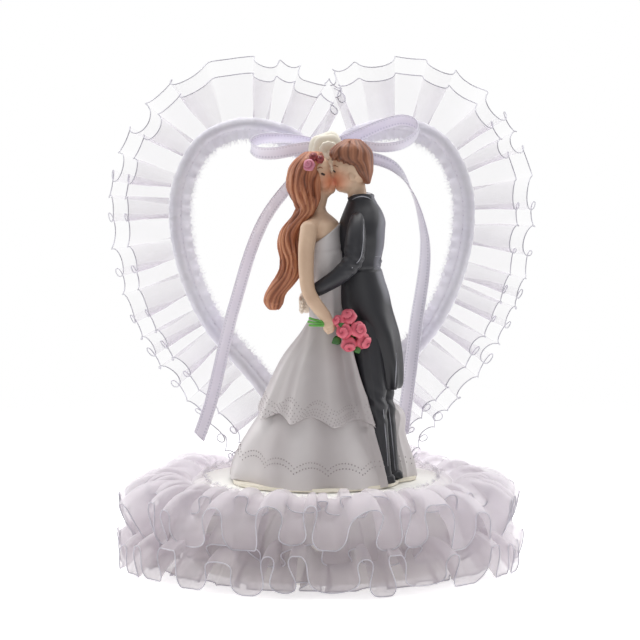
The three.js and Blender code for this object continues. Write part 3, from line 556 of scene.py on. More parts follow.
def base_frill(name, level, width, folds, kind, rise, curl, heading):
    """A tier of the base: tall petals that stand up, bulge and droop, folded close to each other.
    rise and curl are in degrees, at the foot of a lifted petal and of a drooping one.
    A heading is a narrow ruffle with a raw edge that stands up on the deck."""
    STEPS, ROWS, TABLE_GAP, HEM = 44, 18, 0.7, 0.2
    RUFFLE_RADIUS, RUFFLE_INWARD, RUFFLE_FOOT, RUFFLE_TALL = 45.0, 4.6, 1.4, 4.2
    share = np.arange(folds * STEPS) / (folds * STEPS)
    turn = TURN * (folds * share + 0.25 * wander(share, (5, 9, 14), kind))
    lift = np.clip(np.sin(turn) * (0.95 + 0.25 * wander(share, (7, 11, 17), kind)), -1, 1)
    left = (1 - np.cos(TURN * share)) / 2
    step = width * (1 + 0.05 * wander(share, (8, 13, 19), kind) + 0.1 * left ** 6) / (ROWS - 1)
    lean = 0.35 * wander(share, (6, 10, 15), kind) * lift
    ends = np.cos(TURN * share) ** 2
    foot = between(rise, lift) - np.radians(0.6 * level * ends)
    bend = between(curl, lift)
    radius, height = np.full(len(share), DRUM), np.full(len(share), level)
    rings = []
    for s in np.linspace(0, 1, ROWS):
        fold = (0.7 * np.sin(2 * turn) - 0.45 * np.cos(turn) - lean) * s ** 0.6 / folds
        ripple = 0.35 * np.sin(3 * turn) * s * (1 - s)
        rings.append(ring(radius + ripple, TURN * share - fold, height))
        radius = radius + step * np.cos(foot - bend * s)
        height = height + step * np.sin(foot - bend * s)
    trim = []
    if heading:
        ruffle = wander(share, (31, 47, 71), kind)
        tall = 0.7 + 0.3 * np.sin(TURN * share)
        edge = []
        for up in np.linspace(1, 0.1, 6):
            radius = RUFFLE_RADIUS - RUFFLE_INWARD * up + 0.5 * ruffle * up
            height = level + RUFFLE_FOOT + (RUFFLE_TALL * up ** 0.6 + 0.9 * ruffle * up) * tall
            edge.append(ring(radius, TURN * share + 0.02 * ruffle * up, height))
        inward = -edge[0] * [1, 1, 0] / 40 + [0, 0, 0.5]
        trim.append(make(name + "_fray", fray(edge[0], inward, 0.5, 1.8), fibre_paint))
        rings = edge + rings
    points = np.stack(rings, 1)
    points[..., 2] = np.maximum(points[..., 2], TABLE_GAP)
    trim.append(make(name + "_hem", tube(points[:, -1], HEM, 5, loop=True), base_line))
    # Painted light and shade: the cloth is paler higher up and towards both ends, more so on the right, and
    # darker at the front.
    right, forward = points[..., 0] / DRUM, np.maximum(-points[..., 1], 0) / DRUM
    painted_lighting = points[..., 2] / 36 + 0.3 * np.abs(right) + 0.1 * right - 0.34 * forward
    tone = np.clip(painted_lighting, 0, 1).ravel()
    cloth(name, points, base_cloth, "organza", width, "base_drum", trim, True, tone)


# Name, height of the seam, width of the cloth, folds, kind of unevenness, rise, curl, heading.
base_frill("base_frill_upper", 25.6, 26, 26, 1, (60, 20), (100, 100), True)
base_frill("base_frill_upper_inner", 26.2, 17, 30, 2, (78, 50), (118, 112), False)
base_frill("base_frill_upper_under", 25.0, 21, 22, 5, (6, -26), (66, 56), False)
base_frill("base_frill_lower", 11.6, 26, 26, 3, (46, 3), (85, 58), False)
base_frill("base_frill_lower_inner", 11.4, 17.5, 24, 4, (-4, -22), (52, 44), False)


# Helpers for the couple, in mm from its foot.
def couple_piece(name, shell, finish, tone=None):
    """A piece of the couple that stands for the node of its name."""
    make(name, shell, finish, [name], FIGURE, tone)
    return shell


def ball(centre, radii, turn=0.0, sides=20):
    """An oval body, turned about the front-to-back axis by an angle in degrees."""
    rise = np.linspace(-0.5, 0.5, sides // 2 + 1)[1:-1, None, None] * math.pi
    level = ring(1, around(sides), np.zeros(sides))
    points, faces = closed(level * np.cos(rise) + np.array([0, 0, 1]) * np.sin(rise))
    points[-2], points[-1] = (0, 0, -1), (0, 0, 1)
    x, y, z = (points * np.broadcast_to(radii, 3)).T
    c, s = math.cos(math.radians(turn)), math.sin(math.radians(turn))
    return np.stack([c * x - s * z, y, s * x + c * z], 1) + np.asarray(centre, float), faces


def rounded(rings):
    """Rings with two smaller ones added at each end, so that the ends are domed."""
    def cap(end, inner):
        centre = end.mean(0)
        lift = (centre - inner.mean(0)) * 0.25
        return [centre + (end - centre) * share + lift * up for share, up in ((0.8, 0.5), (0.45, 0.9))]
    start, finish = cap(rings[0], rings[1]), cap(rings[-1], rings[-2])
    return np.concatenate([start[::-1], rings, finish])


def sections_at(sections, height):
    """The middle and half lengths of level oval sections at the heights asked: x, y, half x, half y.
    A section is [height, x, y, half length in x, half length in y]."""
    table = np.asarray(sections, float)
    return np.moveaxis(through(table[:, 0], table[:, 1:], height), -1, 0)


def oval(sections, height, angle, swell=0.0):
    """Points at angles round level oval sections, at the heights asked, swollen outwards."""
    x, y, half_x, half_y = sections_at(sections, height)
    x, y = x + (half_x + swell) * np.cos(angle), y + (half_y + swell) * np.sin(angle)
    return np.stack(np.broadcast_arrays(x, y, height), -1)


def loft(sections, rows=60, sides=64):
    """Level oval sections joined by a smooth skin."""
    height = np.linspace(sections[0][0], sections[-1][0], rows)
    return oval(sections, height[:, None], around(sides))


def limb(joints, rows=40, sides=16):
    """A round body through joints [x, y, z, radius], with round ends."""
    line = walk(joints, rows)
    ends = [ball(line[end, :3], line[end, 3]) for end in (0, -1)]
    return joined([tube(line[:, :3], line[:, 3], sides), *ends])


def mirrored(joints):
    return [(x, -y, z, radius) for x, y, z, radius in joints]


def neighbours(faces):
    corners = np.array(faces)
    following = np.roll(corners, -1, 1)
    pairs = np.concatenate([np.stack([corners[:, k], following[:, k]], 1) for k in range(4)])
    return np.concatenate([pairs, pairs[:, ::-1]])


def relax(points, pairs, rounds):
    """Smooths a mesh without shrinking it."""
    IN, OUT = 0.5, -0.52
    here, there = pairs.T
    count = np.bincount(here, minlength=len(points))[:, None]
    for _ in range(rounds):
        for step in (IN, OUT):
            near = [np.bincount(here, points[there, k], len(points)) for k in range(3)]
            points = points + step * (np.stack(near, 1) / count - points)
    return points


def fuse(shells, voxel, rounds=3):
    """One smooth closed body from overlapping closed shells."""
    points, faces = joined(shells)
    mesh = bpy.data.meshes.new("fusing")
    mesh.from_pydata(points.tolist(), [], faces)
    rough = bpy.data.objects.new("fusing", mesh)
    scene.collection.objects.link(rough)
    remesh = rough.modifiers.new("fuse", "REMESH")
    remesh.mode = "VOXEL"
    remesh.voxel_size = voxel
    body = rough.evaluated_get(bpy.context.evaluated_depsgraph_get()).to_mesh()
    points = np.empty(3 * len(body.vertices))
    body.vertices.foreach_get("co", points)
    faces = [list(face.vertices) for face in body.polygons]
    bpy.data.objects.remove(rough)
    bpy.data.meshes.remove(mesh)
    return relax(points.reshape(-1, 3), neighbours(faces), rounds), faces


def normals(points, faces):
    out = np.zeros_like(points)
    for size in (3, 4):
        corners = np.array([face for face in faces if len(face) == size])
        if len(corners):
            spot = points[corners]
            flat = np.cross(spot[:, 2] - spot[:, 0], spot[:, -1] - spot[:, 1])
            for k in range(size):
                for axis in range(3):
                    out[:, axis] += np.bincount(corners[:, k], flat[:, axis], len(points))
    return unit(out + 1e-12)


def swollen(shell, height):
    """A shell with each point moved out along its normal by a height of its own."""
    points, faces = shell
    return points + normals(points, faces) * height[:, None], faces


def seen_at(shell, pixels):
    """Where the camera's rays through pixels of the image first meet a shell of the couple."""
    tree = BVHTree.FromPolygons((shell[0] + FIGURE).tolist(), shell[1])
    focal = camera.data.lens / camera.data.sensor_width * IMAGE
    turn = camera.rotation_euler.to_matrix()
    eye = camera.location / MM
    spots = []
    for x, y in pixels:
        ray = turn @ Vector(((x - IMAGE / 2) / focal, (IMAGE / 2 - y) / focal, -1))
        spot = tree.ray_cast(eye, ray.normalized())[0]
        if spot is not None:
            spots.append(np.array(spot) - FIGURE)
    return np.array(spots)


# Bride: gown, from level oval sections.
def gown_surface(sections, rows, sides, hem, folds, thick):
    """A skirt as an open bell with a rolled hem: outer face, hem and inner face in one closed skin."""
    FLARE = 0.45
    angle = around(sides)
    bottom = hem(angle)
    lowest, top = sections[0][0], sections[-1][0]
    rings = []
    for share in np.linspace(0, 1, rows):
        height = bottom + (top - bottom) * share
        swell = folds(angle) * (1 - share) ** 1.3 + np.maximum(lowest - height, 0) * FLARE
        rings.append(oval(sections, height, angle, swell))
    rings = np.array(rings)
    centre = rings.mean(1, keepdims=True)
    reach = np.linalg.norm((rings - centre)[..., :2], axis=-1, keepdims=True)
    inside = centre + (rings - centre) * (1 - thick / reach)
    inside = inside[: rows // 4][::-1] + np.array([0, 0, 0.25])
    lip = (inside[-1] + rings[0]) / 2 - np.array([0, 0, 0.2])
    return closed(np.concatenate([inside, lip[None], rings]))


OVERSKIRT = [(14, -2.6, 0, 22.6, 19.8), (19, -2.4, 0, 20.6, 18), (22, -2.4, 0, 19.8, 17.2),
             (31, -2.3, 0, 16.1, 14), (42, -1.1, 0, 11.9, 11), (50, 1.0, 0, 8.0, 8.2),
             (54.8, 1.8, 0, 5.9, 6.9)]
UNDERSKIRT = [(-1, -2, 0, 28, 22.4), (2, -2.2, 0, 27.9, 22.2), (8, -2.4, 0, 26, 20.6),
              (16, -2.6, 0, 22, 18.2), (28, -2, 0, 15, 13.5)]
TRAIN = [(-1, 7, 8, 25, 13.8), (2, 7, 8, 24.6, 13.6), (14, 6.6, 7, 21.6, 12), (24, 6.2, 6, 19.6, 10.8),
         (27, 4.6, 6, 16.4, 9.8), (30, 2.4, 5.6, 12.8, 8.6), (34, 0.6, 3.8, 10, 7.6), (40, 0, 1.8, 8.2, 6.6)]
# Where the upper hem hangs lowest, in degrees clockwise from the right as seen from above.
LOW_SPOTS = [-25, 10, 73, 112, 146, 212, 250, 290, 335, 370]


def hem_turn(angle):
    clockwise = np.degrees(-angle) % 360
    return np.interp(clockwise, LOW_SPOTS, np.arange(len(LOW_SPOTS)) * TURN)


def to_left(angle):
    """1 on the left of the gown, 0 on its right."""
    return (1 - np.cos(angle)) / 2


def arched(turn):
    """1 at the low points of a hem, which are narrow, and -1 in the wide arches between them."""
    return 1 - 2 * np.sqrt(np.sin(turn / 2) ** 2 + 0.012)


def upper_hem(angle):
    return 19.6 + 3.2 * to_left(angle) - 1.6 * arched(hem_turn(angle))


def upper_folds(angle):
    return 1.0 + 0.9 * arched(hem_turn(angle)) + 0.25 * np.cos(17 * angle)


def lower_hem(angle):
    return -0.9 + 0.7 * to_left(angle) ** 5 + 0.2 * np.cos(5 * angle + 0.6)


def lower_folds(angle):
    return 0.9 * np.cos(7 * angle + 0.4) + 0.5 * np.cos(12 * angle + 1.1) + 2.0 * to_left(angle) ** 8


def train_hem(angle):
    return -0.9 + 0.3 * np.cos(4 * angle)


def train_folds(angle):
    return 0.8 * np.cos(9 * angle)


# The gown's edge on the groom's near leg, [height, x], and the leg's front, [height, y].
GOWN_EDGE = [(-3, 22.2), (0.6, 22), (9, 20), (17, 17.8), (19, 18), (26, 15.8), (34, 13.9), (44, 12.2),
             (56, 11)]
LEG_FRONT = [(-3, -14.9), (3, -14.6), (27, -13.4), (38, -12.4), (50, -11)]
BEHIND_LEGS, SWEPT_BACK, GOWN_MIDDLE = 2.5, 7, -2


def beside_legs(shell, lift):
    """Lets the gown overlap the near leg as far as an edge, and draws it back behind the legs beyond.
    The left end of the gown is swept back."""
    x, y, z = shell[0].T
    y = y + SWEPT_BACK * eased((-14 - x) / 16) * eased((20 - z) / 16)
    edge = np.interp(z, *np.array(GOWN_EDGE).T)
    cover = np.minimum(y, np.interp(z, *np.array(LEG_FRONT).T) - lift)
    y = np.where(y < 0, y + 0.8 * eased((x - edge + 6) / 4) * (cover - y), y)
    y = np.where(y < BEHIND_LEGS, y + 0.92 * eased((x - edge) / 0.9) * (BEHIND_LEGS - y), y)
    return np.stack([x, y, z], 1), shell[1]


def round_gown(shell):
    """The angle of each point round the gown's middle."""
    return np.arctan2(shell[0][:, 1], shell[0][:, 0] - GOWN_MIDDLE)


def gown_piece(name, shell, tone, lift):
    return couple_piece(name, beside_legs(shell, lift), gown_white, tone)


upper = gown_surface(OVERSKIRT, 90, 288, upper_hem, upper_folds, 1.6)
turn = round_gown(upper)
# Painted light and shade: lighter on the fold crests at the hem's low points, darker in the arches between,
# and lighter on the left.
upper_painted_shading = 0.26 + 0.16 * arched(hem_turn(turn)) + 0.26 * to_left(turn)
overskirt = gown_piece("bride_overskirt", upper, upper_painted_shading, 1.3)
lower = fuse([gown_surface(UNDERSKIRT, 70, 288, lower_hem, lower_folds, 1.0),
              gown_surface(TRAIN, 70, 200, train_hem, train_folds, 1.0)], 0.36, 2)
turn = round_gown(lower)
# Painted light and shade: lighter on the fold crests and a little lighter on the left.
lower_painted_shading = 0.47 + 0.22 * np.cos(7 * turn + 0.4) + 0.08 * to_left(turn)
underskirt = gown_piece("bride_underskirt", lower, lower_painted_shading, 0)


def lace(name, shell, dots, radius):
    """Small beads on a skirt, at [angle, height] places seen from outside it. Their grey is painted shade,
    standing for recessed dots.
    """
    OUTSIDE, SUNK = 60, 0.08
    tree = BVHTree.FromPolygons(shell[0].tolist(), shell[1])
    beads = []
    for angle, height in dots:
        way = Vector((math.cos(angle), math.sin(angle), 0))
        spot, normal, _, _ = tree.ray_cast(Vector((GOWN_MIDDLE, 0, height)) + way * OUTSIDE, -way)
        if spot is not None:
            beads.append(ball(np.array(spot) - SUNK * np.array(normal), radius, 0, 6))
    make(name, joined(beads), lace_dot_shade, origin=FIGURE)


def even_turns(half_x, half_y, pitch):
    """Angles of places at an even pitch round an oval."""
    FINE = 2000
    angle = np.linspace(0, TURN, FINE)
    run = run_along(np.stack([half_x * np.cos(angle), half_y * np.sin(angle)], 1))
    return np.interp(np.arange(0, run[-1], pitch), run, angle)


def scallop(angle):
    return np.abs(np.sin(6 * (angle + math.radians(79)))) ** 0.8


upper_dots, lower_dots = [], []
turn = even_turns(19.5, 17.2, 1.05)
for row in range(5):
    height = upper_hem(turn) + 0.8 + 0.95 * row + (row > 2) * 0.8 * scallop(turn)
    upper_dots += zip(turn + 0.027 * row, height)
turn = even_turns(26, 21, 1.15)
for row in range(2):
    height = 3.4 + 1.7 * row + 2.6 * scallop(turn) + 3.4 * to_left(turn) ** 3
    lower_dots += zip(turn, height)
lace("overskirt_lace", overskirt, upper_dots, 0.25)
lace("underskirt_lace", underskirt, lower_dots, 0.3)

BODICE = [(53.6, 1.8, 0, 6.0, 7.0), (58, 1.6, 0, 5.8, 6.7), (66, 1.3, 0, 6.2, 7.7), (74, 1.4, 0, 6.9, 8.8),
          (77.6, 1.3, 0, 7.0, 9.0), (80, 1.0, 0, 6.4, 9.0), (88, 0.6, 0, 5.6, 9.2)]


def bodice_shell(rows, sides):
    """A tight bodice with a slanted neckline, a crease under the bust and soft folds below it."""
    FOOT, CREASE = BODICE[0][0], 78.2
    turns = around(sides)
    neckline = 82.7 + 4.3 * np.cos(turns)
    height = FOOT + np.linspace(0, 1, rows)[:, None] * (neckline - FOOT)
    crease = 0.4 * bell(height - CREASE, 0.6) * np.clip(np.cos(turns + 0.9), 0, 1)
    drape = 0.22 * np.cos(9 * turns + 0.08 * height) * eased((CREASE - height) / 6) - crease
    return closed(oval(BODICE, height, turns, drape))


shell = bodice_shell(70, 120)
couple_piece("bride_bodice", shell, gown_white, np.full(len(shell[0]), 0.6))


# Bride: skin. A joint of a limb is [x, y, z, radius].
def skin_piece(name, shells, voxel=0.24, rounds=3):
    return couple_piece(name, fuse(shells, voxel, rounds), skin.material)


SHOULDERS = [(79, 0.9, 0, 4.8, 7.4), (81, 0.8, 0, 4.9, 7.8), (83, 0.5, 0, 5.2, 8.4), (85, 0.3, 0, 5.5, 8.8),
             (87.2, 0.3, 0, 5.1, 7.6), (88.8, -0.3, 0, 4.0, 5.0), (90.4, -1.0, 0, 2.8, 3.4),
             (92, -1.2, 0, 2.4, 2.8), (98, -0.8, 0, 2.4, 2.8)]
NEAR_ARM = [(-4.4, -8.6, 85.2, 3.0), (-5.2, -11, 79, 2.8), (-5.2, -12.2, 70, 2.5), (-4.4, -13, 64.6, 2.35),
            (-2, -13.6, 60.4, 2.3), (1, -13.8, 56.6, 2.05), (2.2, -14.2, 54.6, 1.7)]
FAR_ARM = [(-3.2, 9.6, 84.8, 2.8), (-0.6, 13, 78.4, 2.5), (5, 15.6, 75.4, 2.1), (10.6, 16.4, 77.2, 1.7),
           (13.4, 15.6, 79, 1.6)]
near_shoulder = limb([(-1.5, -3, 86.8, 3.2), (-4.2, -8, 85.2, 2.8)], 10)
skin_piece("bride_shoulders", [closed(rounded(loft(SHOULDERS))), near_shoulder], 0.3, 5)
fist = [ball((2.5, -14.6, 53.4), (2.1, 1.9, 2.6), -20)]
fist += [limb([(3.8, -15.4, 54.6 - k, 0.6), (3.2, -16.3, 53.8 - k, 0.6), (2.0, -16.0, 53.2 - k, 0.55)], 10, 8)
         for k in range(3)]
skin_piece("bride_arm_near", [limb(NEAR_ARM), *fist])
far_fist = [ball((14.4, 14.6, 79.8), (2.2, 1.2, 1.8), 20)]
far_fist += [limb([(14.8, 14.8, 80.8 - k, 0.55), (17, 13.4, 81.2 - k, 0.5)], 8, 8) for k in range(3)]
skin_piece("bride_arm_far", [limb(FAR_ARM), *far_fist])
bride_face = skin_piece("bride_head", [
    ball((-2.4, 0, 104.0), (5.4, 5.4, 6.0)), ball((-0.4, 0, 101.8), (3.8, 4.4, 5.6), 18),
    ball((2.6, 0, 98.2), (2.0, 2.2, 1.9)), ball((0.3, -2.2, 100.2), (2.6, 2.1, 2.5)),
    ball((0.3, 2.2, 100.2), (2.6, 2.1, 2.5)), ball((2.9, 0, 102.4), (1.2, 0.9, 1.3), 20),
    ball((3.2, 0, 100.2), (1.9, 2.0, 2.2)), limb([(2.4, 0, 98, 1.7), (0.2, 0, 96.4, 2.2)], 8),
    limb([(0.2, 0, 98, 2.4), (-1.0, 0, 93, 2.4)], 8)], 0.26, 4)

# Hair: a smooth body with locks on it, then grooves that run down it.
HAIR = [(57.8, -16.2, -2, 1.8, 2.0), (59.4, -16.3, -2, 3.0, 3.2), (62.6, -15.8, -2, 3.4, 3.8),
        (66, -13.5, -2, 3.9, 4.5), (69, -11.4, -2, 4.0, 5.0), (74, -10, -2, 3.6, 5.2),
        (80, -10.6, -2, 3.5, 5.6), (84, -10.2, -1.5, 2.9, 5.6), (87.5, -7.8, -1, 2.7, 5.4),
        (91, -5.1, -0.4, 2.4, 5.2), (94.5, -5.5, 0, 4.2, 5.7), (98, -6.3, 0, 5.2, 6.4),
        (102, -6.5, 0, 5.3, 6.8), (105.5, -5.5, 0, 5.5, 6.8), (108.4, -3.9, 0, 4.7, 5.9),
        (110.4, -3.0, 0, 2.9, 3.5)]
FACE_LOCK = [(-2.4, -5.4, 106, 0.6), (-1.8, -5.6, 102.5, 1.0), (-1.5, -5.7, 98.5, 1.2), (-1.9, -5.7, 95, 1.2),
             (-3.6, -5.8, 91.8, 1.3), (-6.2, -6.0, 88.8, 1.2), (-8.6, -6.2, 85.2, 1.2),
             (-10.6, -6.6, 82, 1.0), (-11.4, -6.8, 77, 0.7)]


def groove(angle, count, drift):
    """Ridges with sharp grooves between them: 1 on a ridge, 0 in a groove."""
    return np.abs(np.sin(count / 2 * angle + drift)) ** 0.55


def strands(shell, sections, count, depth, twist):
    """Grooves that follow a lofted body downwards, cut into a shell, with their tone: painted shade in the
    grooves and painted highlights on the ridges.
    """
    across, deep, z = shell[0].T
    x, y, half_x, half_y = sections_at(sections, z)
    angle = np.arctan2((deep - y) / half_y, (across - x) / half_x)
    drift = (twist * z + 1.3 * np.sin(0.15 * z) + 0.8 * np.sin(2 * angle + 0.22 * z)
             + 0.4 * np.sin(5 * angle - 0.4 * z))
    broad, fine = groove(angle, count, drift), groove(angle, 2.7 * count, 2.1 * drift)
    ridge = 0.6 * broad + 0.25 * fine + 0.15 * groove(angle, 5.3 * count, 3 * drift)
    tone = 0.9 * ridge ** 1.4 + 0.16 * np.sin(0.33 * z + 2.5 * angle)
    return swollen(shell, depth * (ridge - 0.7)), np.clip(tone, 0, 1)


def lock(share, start, finish, size):
    """A lock of hair on the outside of the hair body, between two heights."""
    STEPS = 9
    height = np.linspace(start, finish, STEPS)
    line = oval(HAIR, height, TURN * (share + 0.05 * np.sin(0.2 * height)))
    radius = size * np.sin(np.linspace(0.25, math.pi - 0.15, STEPS)) ** 0.5
    return limb(np.c_[line, radius], 30, 10)


locks = [lock(0.52 + 0.07 * k, 107 - 2 * abs(k - 3), 66 + 2 * k, 0.9) for k in range(7)]
locks += [lock(0.3 + 0.06 * k, 104 - k, 70 + 3 * k, 0.9) for k in range(3)]
locks.append(limb(FACE_LOCK))
shell, tone = strands(fuse([closed(rounded(loft(HAIR))), *locks], 0.27, 2), HAIR, 13, 0.75, 0.05)
couple_piece("bride_hair", shell, auburn, tone)


# Posy and hair flowers.
def flower(centre, radius, facing, turn=0.0, winds=2.6):
    """A rolled bloom: a dome whose face winds inwards in a spiral of petals, with painted shade in a dark
    line under each petal and towards the middle.
    """
    SIDES, ROWS, PETALS = 48, int(12 * winds), 5
    END_SHADE = [0.4, 0.2]
    angle = around(SIDES)
    rows, petal_shade = [], []
    for share in np.linspace(0, 1, ROWS):
        slope = math.pi * (0.78 * (1 - share) + 0.02)
        spiral = (winds * (1 - share) + angle / TURN + turn) % 1.0
        step = 1 - (1 - spiral) ** 2.2
        lobes = 1 + 0.1 * (1 - share) * np.cos(PETALS * angle + 6 * share + turn)
        reach = radius * math.sin(slope) * lobes * (0.8 + 0.24 * step)
        rows.append(ring(reach, angle, radius * math.cos(slope) * (0.82 + 0.24 * step)))
        petal_shade.append(0.05 + 0.95 * step * (0.6 + 0.4 * (1 - share)))
    points, faces = closed(np.array(rows))
    facing = unit(np.asarray(facing, float))
    side = unit(np.cross(facing, [0.1, 0.2, 0.97]))
    axes = np.stack([side, np.cross(facing, side), facing])
    return (points @ axes + np.asarray(centre, float), faces), np.concatenate([*petal_shade, END_SHADE])


def leaf(base, tip, width):
    """A pointed leaf with a fold along its middle."""
    SAG = 0.4
    SECTION = ((1, -0.1), (0.5, 0.1), (0, 0.02), (-0.5, 0.1), (-1, -0.1), (0, -0.35))
    base, tip = np.asarray(base, float), np.asarray(tip, float)
    along = unit(tip - base)
    side = unit(np.cross(along, [0, -1, 0.2]))
    up = np.cross(side, along)
    rows = []
    for share in np.linspace(0.02, 0.98, 12):
        half = width * math.sin(math.pi * share ** 0.8) ** 0.9 + 0.04
        middle = base + (tip - base) * share + up * SAG * math.sin(math.pi * share)
        rows.append([middle + side * half * across + up * high for across, high in SECTION])
    return closed(np.array(rows))


# A bloom is [x, y, z, radius]. Blooms face away from the middle of the posy or of the head.
POSY = np.array([9.4, -12.4, 51.6])
HEAD = np.array([-3, 0, 103.5])
POSY_BLOOMS = [(8.8, -14.6, 56.3, 2.7), (12, -15.4, 52.2, 2.7), (7.4, -15.9, 51.8, 2.7),
               (13.7, -14, 48.2, 2.6), (8.9, -15.2, 47.4, 2.6), (5.6, -15.4, 55, 2.1)]
HAIR_BLOOMS = [(-4.3, -6.7, 106.5, 2.0), (-2.8, -5.2, 109.2, 1.5), (-0.7, -5.4, 108.4, 1.4)]
LEAVES = [((6.4, -14.2, 49.2), (3.2, -15.2, 47.6), 1.5), ((11.2, -14.4, 46.4), (12.4, -15.2, 44.2), 1.3),
          ((7.8, -16.2, 53.6), (5.4, -17.6, 54.2), 1.2)]


def blooms(word, places, away_from, turn, colours):
    for i, (*centre, radius) in enumerate(places):
        shell, tone = flower(centre, radius, np.array(centre) - away_from, turn * i)
        couple_piece(f"{word}_{i + 1}", shell, colours[i], tone)


blooms("posy_rose", POSY_BLOOMS, POSY + [0, 3, 0], 0.37, [pink] * len(POSY_BLOOMS))
blooms("hair_flower", HAIR_BLOOMS, HEAD, 0.29, [dusty_pink, dark_red, dark_red])
for i, place in enumerate(LEAVES):
    couple_piece(f"posy_leaf_{i + 1}", leaf(*place), leaf_green)
holder = fuse([ball(POSY, 3.2), ball(POSY + [-3, 0, 1.5], 2.0)], 0.3)
couple_piece("posy_holder", holder, leaf_green)
sticks = [limb([(1.6, -14.4 - 0.3 * k, 54.6 - 0.5 * k, 0.45), (-1.6, -14.9 - 0.3 * k, 55.2 - 0.8 * k, 0.42),
                (-4.1 - 0.4 * (k % 2), -15 - 0.3 * k, 56 - 1.15 * k, 0.4)], 14, 8) for k in range(3)]
couple_piece("posy_stems", joined(sticks), stem_green)


# Groom: suit.
def suit_piece(name, shell, tone=0.38):
    return couple_piece(name, shell, suit, np.broadcast_to(tone, len(shell[0])))


JACKET = [(30.8, 23.3, 0, 3.0, 6.2), (31.6, 23.3, 0, 3.5, 6.9), (34, 23.25, 0, 3.9, 7.9),
          (38.4, 22.6, 0, 4.6, 8.8), (44, 21.3, 0, 5.5, 9.4), (50, 19.4, 0, 6.5, 9.8),
          (54, 17.2, 0, 7.6, 9.8), (58, 15, 0, 8.7, 9.8), (63, 14.1, 0, 8.6, 9.5), (68, 13.2, 0, 7.9, 9.1),
          (72.7, 12.6, 0, 7.4, 9.0), (79.6, 13, 0, 8.0, 10), (84.3, 13.3, 0, 8.0, 10.8),
          (87.4, 13.7, 0, 7.7, 9.9), (90.5, 13.7, 0, 6.6, 7.9), (93, 13.4, 0, 5.3, 6.1),
          (95.6, 13.2, 0, 4.1, 4.7)]
COLLAR_SIDE = [(9.1, -2.2, 95.0, 0.55), (11, -4.2, 95.9, 0.65), (13.6, -4.9, 96.3, 0.65),
               (16, -3.4, 96.1, 0.6)]
COLLAR_BACK = (17.1, 0, 95.8, 0.6)
BELT_SIDE = [(17.2, -5.8, 73.9, 0.5), (19.1, -3.6, 73.8, 0.55)]
BELT_BACK = (19.8, 0, 73.8, 0.55)


def band(side, back, rows=40):
    """A raised band round the back, the same on both sides."""
    return limb(side + [back] + mirrored(side)[::-1], rows)


def coat(rows, sides):
    """A tailcoat with a seam down its back, a waist seam and folds in its tails. It rises to the collar."""
    WAIST, TAILS, NECK = 71.6, 63, 88
    rings = loft(JACKET, rows, sides)
    height = rings[..., 2]
    turns = around(sides)
    dent = 0.25 * bell(np.angle(np.exp(1j * turns)), 0.05)
    dent = dent + 0.45 * bell(height - WAIST, 0.5) * (np.cos(turns) > -0.6)
    dent = dent - 0.55 * np.clip((TAILS - height) / 30, 0, 1) * np.cos(6 * turns + 0.5)
    rings = rings - ring(1, turns, 0 * turns) * dent[..., None]
    rings[..., 2] += 0.06 * (rings[..., 0] - 13.3) * np.clip((height - NECK) / 6, 0, 1)
    return closed(rounded(rings))


jacket = fuse([coat(150, 144), band(COLLAR_SIDE, COLLAR_BACK), band(BELT_SIDE, BELT_BACK, 24)], 0.3, 2)
height = jacket[0][:, 2]
# Painted highlight: the jacket is paler where it faces right, along its back, above the tails. It is also
# darker towards the bottom.
rim_highlight = eased((normals(*jacket)[:, 0] - 0.55) / 0.4) * eased((height - 56) / 10)
suit_piece("groom_jacket", jacket, 0.35 + 0.6 * rim_highlight - 0.1 * eased((60 - height) / 14))

NEAR_SLEEVE = [(12.4, -4.4, 90.2, 2.0), (11.9, -7.6, 87.4, 3.0), (11.3, -10.4, 83, 3.45),
               (10.9, -11.9, 79, 3.5), (10.4, -12.8, 75.2, 3.35), (5.6, -12.6, 69.9, 2.95),
               (1.2, -11.6, 66.9, 2.6), (-1.4, -10.8, 65.3, 2.35)]
FAR_SLEEVE = [(13.2, 9, 86.4, 3.6), (14, 12, 78, 3.4), (11, 12.6, 70.6, 3.1), (4, 11.4, 65.6, 2.8),
              (-1.4, 8.8, 61.8, 2.5)]


def arm(joints, elbow):
    """A coat sleeve with creases round its elbow, which is one of its joints."""
    shell = fuse([limb(joints, 60, 24)], 0.27, 2)
    points = shell[0]
    near = bell(np.linalg.norm(points - joints[elbow][:3], axis=1), 4.2)
    return swollen(shell, 0.3 * near * np.sin(2.1 * points[:, 2] + 0.9 * points[:, 0]))


near_sleeve = suit_piece("groom_sleeve_near", arm(NEAR_SLEEVE, 4), 0.42)
suit_piece("groom_sleeve_far", arm(FAR_SLEEVE, 2), 0.42)
hand = [ball((-5.6, 3.4, 59.5), (2.3, 2.9, 3.8), 8)]
hand += [limb([(-5.4, 1.4 + 0.2 * k, 61.8 - 1.25 * k, 0.85), (-7.0, -0.4, 61.2 - 1.25 * k, 0.8),
               (-6.8, -2.4, 60.4 - 1.2 * k, 0.65)], 12, 10) for k in range(4)]
# The far hand wears the paler skin, as painted light.
couple_piece("groom_far_hand", fuse(hand, 0.24), pale_skin)

NEAR_LEG = [(14.8, -4.6, 52, 5.4), (16.0, -6.0, 42, 5.1), (16.9, -7.0, 34, 4.7), (18.0, -8.2, 26, 3.8),
            (19.6, -9.6, 14, 2.9), (21.1, -10.8, 3.0, 2.3)]
FAR_LEG = [(18.2, 4.6, 50, 4.6), (21.2, 1.4, 27, 3.3), (23.9, -2, 3.0, 2.1)]


